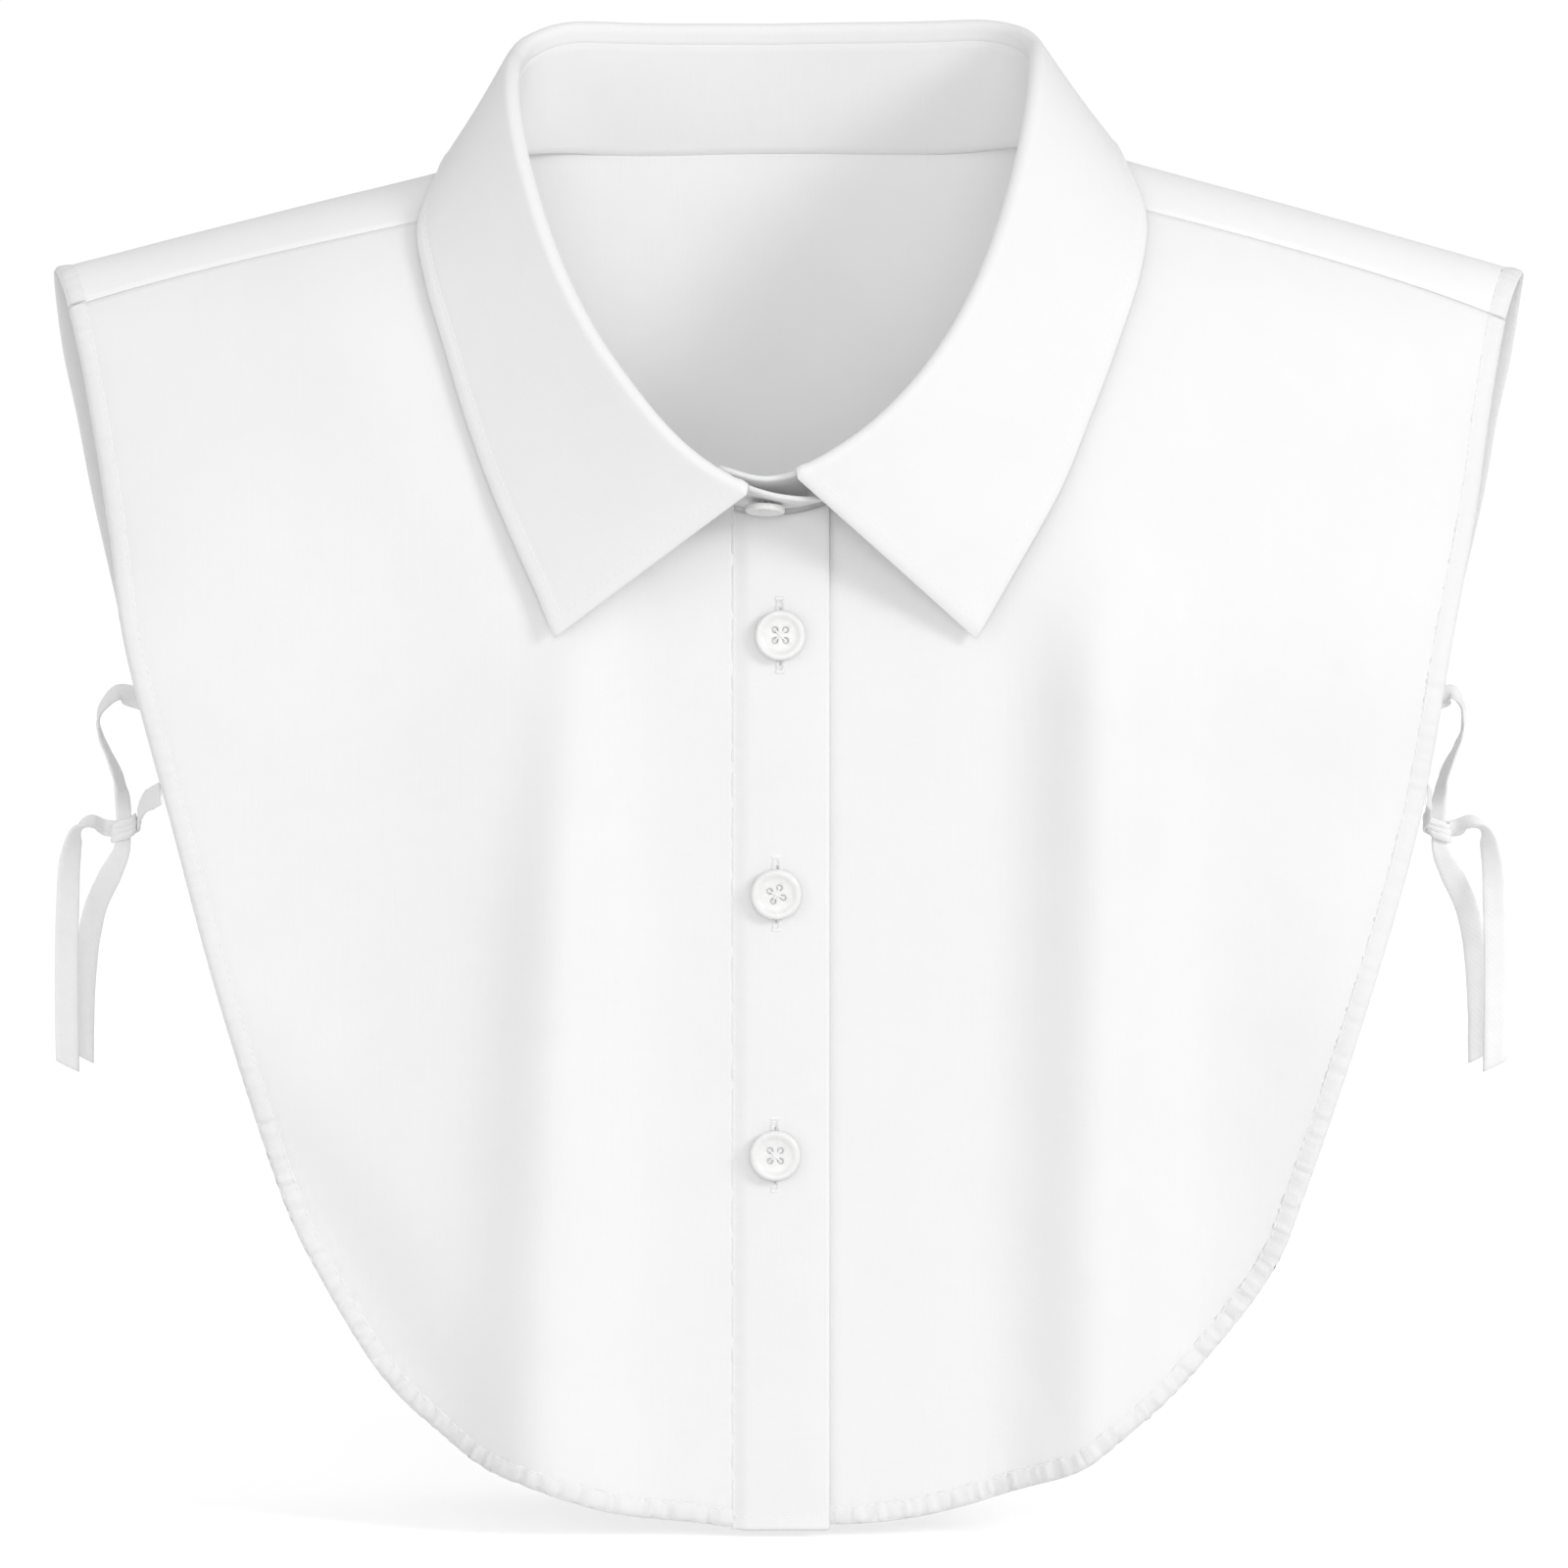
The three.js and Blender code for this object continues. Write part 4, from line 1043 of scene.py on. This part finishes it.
def makeLeaf():
    look = leaf
    stops = []
    for stage, count in look["rows"]:
        stops += [(stage, t) for t in np.linspace(0, 1, count, stage == "fall")]
    turns = np.linspace(-look["leftEndTurn"], look["rightEndTurn"], look["columns"] + 1)
    grid = leafPoints(turns, stops)
    downward = np.stack([lengthsAlong(grid[:, spot]) for spot in range(grid.shape[1])], 1)
    around = lengthsAlong(grid[-1])
    toEdge = downward[-1][None] - downward
    # how near the two point edges are, measured along the rows
    rowLengths = np.stack([lengthsAlong(row) for row in grid])
    toEnd = np.minimum(rowLengths, rowLengths[:, -1:] - rowLengths)
    near = np.minimum(toEdge, toEnd)
    swell = look["swell"] * bellAt(near, look["swellIn"], look["swellWidth"])
    drawn = look["drawIn"] * bellAt(near, look["stitchIn"], look["drawWidth"])
    thick = look["thick"] + swell - drawn - look["edgeThins"] * bellAt(near, 0, look["drawWidth"])
    flat = np.stack(np.broadcast_arrays(around[None], downward), -1)
    piece = clothWall("leaf_cloth", grid, thick, doublePoplin, flat)
    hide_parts("collar_leaf")
    out = gridNormals(grid)
    face = grid + out * thick[..., None] / 2
    return piece, grid, face, out, toEdge, toEnd


standCloth, standGrid = makeStand()
leafCloth, leafGrid, leafFace, leafOut, leafToEdge, leafToEnd = makeLeaf()
print("collar made")


# a line on the leaf at an even distance inside its outer and point edges
def insideLine(distance):
    rows, columns = leafToEdge.shape
    path, normals = [], []

    def pick(spotRow, spotColumn):
        r0 = int(np.clip(math.floor(spotRow), 0, rows - 2))
        c0 = int(np.clip(math.floor(spotColumn), 0, columns - 2))
        fr, fc = spotRow - r0, spotColumn - c0
        for source, target in ((leafFace, path), (leafOut, normals)):
            upper = mix(source[r0, c0], source[r0, c0 + 1], fc)
            lower = mix(source[r0 + 1, c0], source[r0 + 1, c0 + 1], fc)
            target.append(mix(upper, lower, fr))

    def rowAt(spotColumn, want):
        return float(np.interp(-want, -leafToEdge[:, spotColumn], np.arange(rows)))

    def columnAt(spotRow, want, fromLeft):
        lengths = lengthsAlong(leafGrid[spotRow])
        place = want if fromLeft else lengths[-1] - want
        return float(np.interp(place, lengths, np.arange(columns)))

    for fromLeft in (True, False):
        rowRange = range(leaf["stitchFromRow"], rows)
        if not fromLeft:
            rowRange = reversed(rowRange)
            for spotColumn in range(columns):
                corner = rowAt(spotColumn, distance)
                if leafToEnd[int(corner), spotColumn] > distance:
                    pick(corner, spotColumn)
        for spotRow in rowRange:
            spotColumn = columnAt(spotRow, distance, fromLeft)
            if leafToEdge[spotRow, int(round(spotColumn))] > distance:
                pick(spotRow, spotColumn)
    return np.array(path), np.array(normals)


stitchRow("leaf_stitches", *insideLine(leaf["stitchIn"]))


button = {
    "radius": 6.4, "thick": 2.6, "dishRadius": 4.5, "dishDepth": 0.55, "round": 0.8, "sides": 72,
    "holeRadius": 0.75, "holeOffset": 1.35, "holeSides": 28, "sharpAngle": 38,
    "threadRadius": 0.24, "fillRadius": 0.7, "fillTop": 0.62, "seatGap": 0.35, "foot": -2,
}
collarButton = {"scale": 0.8, "turn": -178.5, "height": 9.5, "seatGap": 0.8, "foot": -1.6}
wallHalf = 0.6  # of the cloth walls in the solids
holes = ((1, 1), (1, -1), (-1, 1), (-1, -1))


def lathe(profile, sides):
    points, faces = [], []
    for radius, height in profile[1:-1]:
        for turn in range(sides):
            angle = 2 * math.pi * turn / sides
            points.append((radius * math.cos(angle), radius * math.sin(angle), height))
    count = len(profile) - 2
    for ring in range(count - 1):
        for turn in range(sides):
            a, b = ring * sides + turn, ring * sides + (turn + 1) % sides
            faces.append((a, b, b + sides, a + sides))
    points += [(0, 0, profile[0][1]), (0, 0, profile[-1][1])]
    for turn in range(sides):
        after = (turn + 1) % sides
        faces.append((after, turn, count * sides))
        faces.append(((count - 1) * sides + turn, (count - 1) * sides + after, count * sides + 1))
    return points, faces


def placed(matrix, points):
    return np.array([matrix @ Vector(point) for point in points])


# radius and height from the middle of the underside over the rim to the middle of the dish
def buttonProfile():
    radius, thick, rim, dish = (button[key] for key in ("radius", "thick", "round", "dishRadius"))
    floor, inner = thick - button["dishDepth"], radius - rim
    corner = [math.radians(angle) for angle in range(0, 91, 15)]
    return [
        (0, 0), (radius - 2.6, 0), (inner, 0.35),
        *((inner + rim * math.sin(a), rim + 0.35 - rim * math.cos(a)) for a in corner[1:]),
        *((inner + rim * math.cos(a), thick - rim + rim * math.sin(a)) for a in corner),
        (dish + 0.55, thick - 0.06), (dish + 0.2, thick - 0.22),
        (dish - 0.2, floor + 0.1), (dish - 0.7, floor), (2.8, floor - 0.05), (0, floor - 0.05),
    ]


def drillProfile():
    hole, top = button["holeRadius"], button["thick"] - button["dishDepth"] - 0.05
    return [
        (0, -1), (hole, -1), (hole, top - 0.3), (hole + 0.12, top - 0.1),
        (hole + 0.35, top + 0.05), (hole + 0.5, top + 1), (0, top + 1),
    ]


def makeButton(node, matrix, scale, foot):
    name = node + "_dished"
    disc = bareObject(name, *lathe(buttonProfile(), button["sides"]))
    points, faces = lathe(drillProfile(), button["holeSides"])
    offset = button["holeOffset"]
    cutters = []
    for x, y in holes:
        moved = [(px + x * offset, py + y * offset, pz) for px, py, pz in points]
        cutter = bareObject("cutter", moved, faces)
        cut = disc.modifiers.new("hole", "BOOLEAN")
        cut.object, cut.operation, cut.solver = cutter, "DIFFERENCE", "EXACT"
        cutters.append(cutter)
    bpy.context.view_layer.update()
    shaped = bpy.data.meshes.new_from_object(disc.evaluated_get(bpy.context.evaluated_depsgraph_get()))
    for thing in (*cutters, disc):
        bpy.data.objects.remove(thing)
    points = placed(matrix, np.array([vertex.co for vertex in shaped.vertices]) * scale)
    faces = [list(face.vertices) for face in shaped.polygons]
    piece = addPiece(name, points, faces, buttonPlastic)
    piece.data.set_sharp_from_angle(angle=math.radians(button["sharpAngle"]))
    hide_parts(node)
    sewOn(name, matrix, scale, foot)


# thread crossed in the holes and down through the cloth, and the rest of it packed in each hole
def sewOn(name, matrix, scale, foot):
    offset = button["holeOffset"] * scale
    top = (button["thick"] - button["dishDepth"]) * scale
    half = [(-1, foot), (-1, 0.2), (-1, top - 0.75), (-0.9, top - 0.35), (-0.6, top)]
    run = [*half, (0, top + 0.12), *((-share, height) for share, height in half[::-1])]
    for number, direction in enumerate((1, -1)):
        spine = []
        for share, height in run:
            out = share * offset * (1 if height > 0 else 0.35)
            spine.append((out * direction, out, height))
        fine = resample(placed(matrix, spine), 46)
        rings = roundRings(fine, button["threadRadius"] * scale, 10)
        ringSkin(f"{name}_thread_{number + 1}", rings, sewingThread)
    for number, (x, y) in enumerate(holes):
        heights = (0.2, top - 1, top - button["fillTop"])
        spine = placed(matrix, [(x * offset, y * offset, height) for height in heights])
        packed = roundRings(resample(spine, 8), button["fillRadius"] * scale, 14)
        ringSkin(f"{name}_fill_{number + 1}", packed, sewingThread)


# round rings along a path
def roundRings(path, radius, sides):
    forward = slopeOf(path)
    helper = np.array([0.31, 0.2, 0.93])
    across = unit(np.cross(forward, helper))
    above = np.cross(forward, across)
    angles = np.linspace(0, 2 * math.pi, sides, False)
    cosines, sines = np.cos(angles)[None, :, None], np.sin(angles)[None, :, None]
    return path[:, None] + radius * (across[:, None] * cosines + above[:, None] * sines)


def onTab(outward):
    turn = np.array(collarButton["turn"])
    _, up, out, side = standFrame(turn)
    place = inStand(turn, np.array(collarButton["height"]), np.array(outward))
    matrix = matrixAt(side, np.cross(out, side), out, place)
    if np.dot(up, np.cross(out, side)) < 0:
        matrix = matrix @ Matrix.Rotation(math.pi, 4, "Z")
    return matrix


buttonSeat = placket["lift"] + wallHalf + button["seatGap"]
for place in buttonPlaces:
    makeButton(place["name"], onPlacket(place, buttonSeat), 1, button["foot"])
tabMatrix = onTab(wallHalf + collarButton["seatGap"])
makeButton("collar_button", tabMatrix, collarButton["scale"], collarButton["foot"])
print("buttons made")


backTape = table(
    "x y z swing tilt width",
    # the sewn end runs up behind the back's hem
    (-160.5, 16.4, -141.5, 75, 85, 6), (-165.9, 17.3, -140.2, 70, 62, 6),
    (-169.6, 16.9, -139.4, 80, 36, 6), (-173, 15.2, -142.2, 90, 20, 6),
    (-174.5, 12.5, -146.3, 90, 5, 6), (-173.2, 9.2, -151.2, 82, 0, 6),
    (-170.6, 5.6, -156.5, 72, 0, 6), (-168.8, 2.4, -161.8, 62, 0, 5.6),
    (-168.1, -0.2, -167, 28, 0, 4.4), (-168, -0.8, -172.5, 0, 0, 3.4),
    (-168.6, -0.8, -178, 0, 0, 4.4), (-171.6, -0.2, -184.5, 5, 0, 6),
    (-175, 1, -192, 10, 0, 6), (-177, 2, -201, 15, 0, 6), (-178.3, 2.5, -216, 20, 0, 6),
    (-178.6, 2.5, -231.5, 20, 0, 6),
)
frontTape = table(
    "x y z swing tilt width",
    (-157.6, -63, -156.6, 0, 90, 6), (-160.2, -47, -159.6, 0, 90, 6),
    (-162.2, -27, -162.8, 0, 90, 5.6), (-163.8, -9, -167.4, 0, 90, 4.6),
    (-164.8, 1, -171.6, 0, 90, 3.8), (-168.4, 2.4, -172.4, 0, 90, 3.6),
    (-172.3, 1.8, -172.4, 90, 72, 4.4), (-176, -1, -170.8, 85, 30, 5.4),
    (-179.7, -4, -173, 55, 10, 6), (-181.5, -6, -179, 30, 5, 6),
    (-182.2, -7, -190, 8, 0, 6), (-182.6, -8, -210, 0, 0, 6),
    (-182.3, -8.5, -232.5, 0, 0, 6),
)
rightSewnEnd = {"back": (4.25, -1), "front": (6.5, -2.2), "fadeRows": 4}
tapeShape = {
    "thick": 1, "stepsPerRow": 14, "sides": 24, "ripple": 0.12, "openLength": 22, "openBy": 1.1,
    "slantLength": 8, "slant": 0.5,
    # how far the rolled end narrows and how far it goes back inside itself
    "mouth": ((0.775, -0.1), (0.5, 0.3), (0.5, 4)),
}
# the turns of tape round the knot, each a leaning loop about the upright tape
knotBand = {
    "middle": (-168, 0.35, -172.4), "halfWidth": 2.9, "halfDepth": 2.6, "spacing": 1.55, "height": 2.0,
    "thick": 0.9, "rise": 1.25, "turns": 3, "sides": 48, "sectionSides": 14, "squareness": 0.7,
}


def curveThrough(points):
    points = np.asarray(points, float)
    last = len(points) - 1
    padded = np.concatenate([[2 * points[0] - points[1]], points, [2 * points[-1] - points[-2]]])

    def at(t):
        place = np.asarray(t, float) * last
        first = np.minimum(np.floor(place).astype(int), last - 1)
        w = (place - first)[:, None]
        p0, p1, p2, p3 = (padded[first + step] for step in range(4))
        pairs = ((p0, p1), (p1, p2), (p2, p3))
        d0, d1, d2 = (np.linalg.norm(b - a, axis=1, keepdims=True) ** 0.5 for a, b in pairs)
        d1 = np.where(d1 < 1e-4, 1, d1)
        d0, d2 = np.where(d0 < 1e-4, d1, d0), np.where(d2 < 1e-4, d1, d2)
        t1 = ((p1 - p0) / d0 - (p2 - p0) / (d0 + d1) + (p2 - p1) / d1) * d1
        t2 = ((p2 - p1) / d1 - (p3 - p1) / (d1 + d2) + (p3 - p2) / d2) * d1
        cubic, square = 2 * p1 - 2 * p2 + t1 + t2, -3 * p1 + 3 * p2 - 2 * t1 - t2
        return p1 + t1 * w + square * w**2 + cubic * w**3

    return at


def tapePath(rows, shares):
    at = curveThrough([[row[axis] for axis in "xyz"] for row in rows])
    middle = at(shares)
    forward = slopeOf(middle)
    swing, tilt = np.radians(column(rows, "swing")), np.radians(column(rows, "tilt"))
    across = np.stack([np.cos(tilt) * np.cos(swing), np.cos(tilt) * np.sin(swing), np.sin(tilt)], -1)
    wide = curveThrough(across)(shares)
    wide = unit(wide - forward * dot(wide, forward)[:, None])
    width = np.interp(shares * (len(rows) - 1), np.arange(len(rows)), column(rows, "width"))
    return middle, forward, wide, np.cross(forward, wide), width


def signedPower(value, power):
    return np.sign(value) * np.abs(value) ** power


# a flat section with soft edges and a slight hollow along its middle
def tapeSection(sides):
    angles = np.linspace(0, 2 * math.pi, sides, False)
    across, above = signedPower(np.cos(angles), 0.55), signedPower(np.sin(angles), 0.7)
    hollow = 1 - 0.28 * bellAt(across, 0, 0.45)
    return across / 2, above / 2 * hollow


def makeTapePiece(name, node, rows, seed):
    look = tapeShape
    shares = np.linspace(0, 1, (len(rows) - 1) * look["stepsPerRow"] + 1)
    middle, forward, wide, face, width = tapePath(rows, shares)
    along = lengthsAlong(middle)
    toEnd = along[-1] - along
    across, above = tapeSection(look["sides"])
    sideways = across[None] * width[:, None]
    ripple = look["ripple"] * unevenWaves(along, 14, seed)[:, None] * across[None] * 2
    thick = look["thick"] * (1 + 0.25 * unevenWaves(along, 9, seed + 2))
    # towards the free end the folded tape opens a little
    thick = thick * (1 + look["openBy"] * ease(-toEnd, -look["openLength"], 0))
    # the end is cut at a slant
    slant = look["slant"] * ease(-toEnd, -look["slantLength"], 0)[:, None] * sideways
    rings = middle[:, None] + wide[:, None] * sideways[..., None]
    rings = rings + face[:, None] * (above[None] * thick[:, None] + ripple)[..., None]
    rings = rings + forward[:, None] * slant[..., None]
    centre = rings[-1].mean(0)
    mouth = [centre + (rings[-1] - centre) * size - forward[-1] * back for size, back in look["mouth"]]
    piece = ringSkin(name, np.concatenate([rings, mouth]), tapeCloth)
    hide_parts(node)


def makeKnot(name, mirror):
    look = knotBand
    middle = np.array(look["middle"]) * (mirror, 1, 1)
    angles = np.linspace(0, 2 * math.pi, look["sides"], False)
    section = np.linspace(0, 2 * math.pi, look["sectionSides"], False)
    power = look["squareness"]
    for wrap in range(look["turns"]):
        grow = 1 + 0.06 * np.sin(2 * angles + wrap * 1.7)
        side = signedPower(np.cos(angles), power) * look["halfWidth"] * grow
        front = signedPower(np.sin(angles), power) * look["halfDepth"] * grow
        level = (wrap - (look["turns"] - 1) / 2) * look["spacing"]
        rise = level + look["rise"] * np.cos(angles) * mirror + 0.15 * np.sin(3 * angles + wrap)
        path = middle + np.stack([side, -front, rise], -1)
        outward = unit(np.stack([side, -front, 0 * side], -1))
        ring = path[:, None] + outward[:, None] * (np.cos(section) * look["thick"] / 2)[None, :, None]
        ring = ring + np.array([0, 0, 1.0]) * (np.sin(section) * look["height"] / 2)[None, :, None]
        ringSkin(f"{name}_{wrap + 1}", ring, tapeCloth, closed=True)


def mirrored(rows, sewnEnd):
    result = []
    for index, row in enumerate(rows):
        fade = max(0, 1 - index / rightSewnEnd["fadeRows"])
        result.append({
            **row, "x": sewnEnd[0] * fade - row["x"], "y": row["y"] + sewnEnd[1] * fade,
            "swing": 180 - row["swing"],
        })
    return result


for side, backRows, frontRows in (
    ("left", backTape, frontTape),
    ("right", mirrored(backTape, rightSewnEnd["back"]), mirrored(frontTape, rightSewnEnd["front"])),
):
    makeTapePiece("back_tape_" + side, "tie_back_" + side, backRows, 41)
    makeTapePiece("front_tape_" + side, "tie_front_" + side, frontRows, 43)
    makeKnot("knot_" + side, 1 if side == "left" else -1)
print("tapes made")


def sheetArea(grid):
    across, down = np.diff(grid, axis=1)[:-1], np.diff(grid, axis=0)[:, :-1]
    return np.linalg.norm(np.cross(across, down), axis=-1).sum() * 1e-6


sheets = {
    "over": overGrid, "under": underGrid, "back": backGrid,
    "placket": placketGrid, "stand": standGrid, "leaf": leafGrid,
}
for name, grid in sheets.items():
    print(name, "flat area", round(float(sheetArea(grid)), 4))
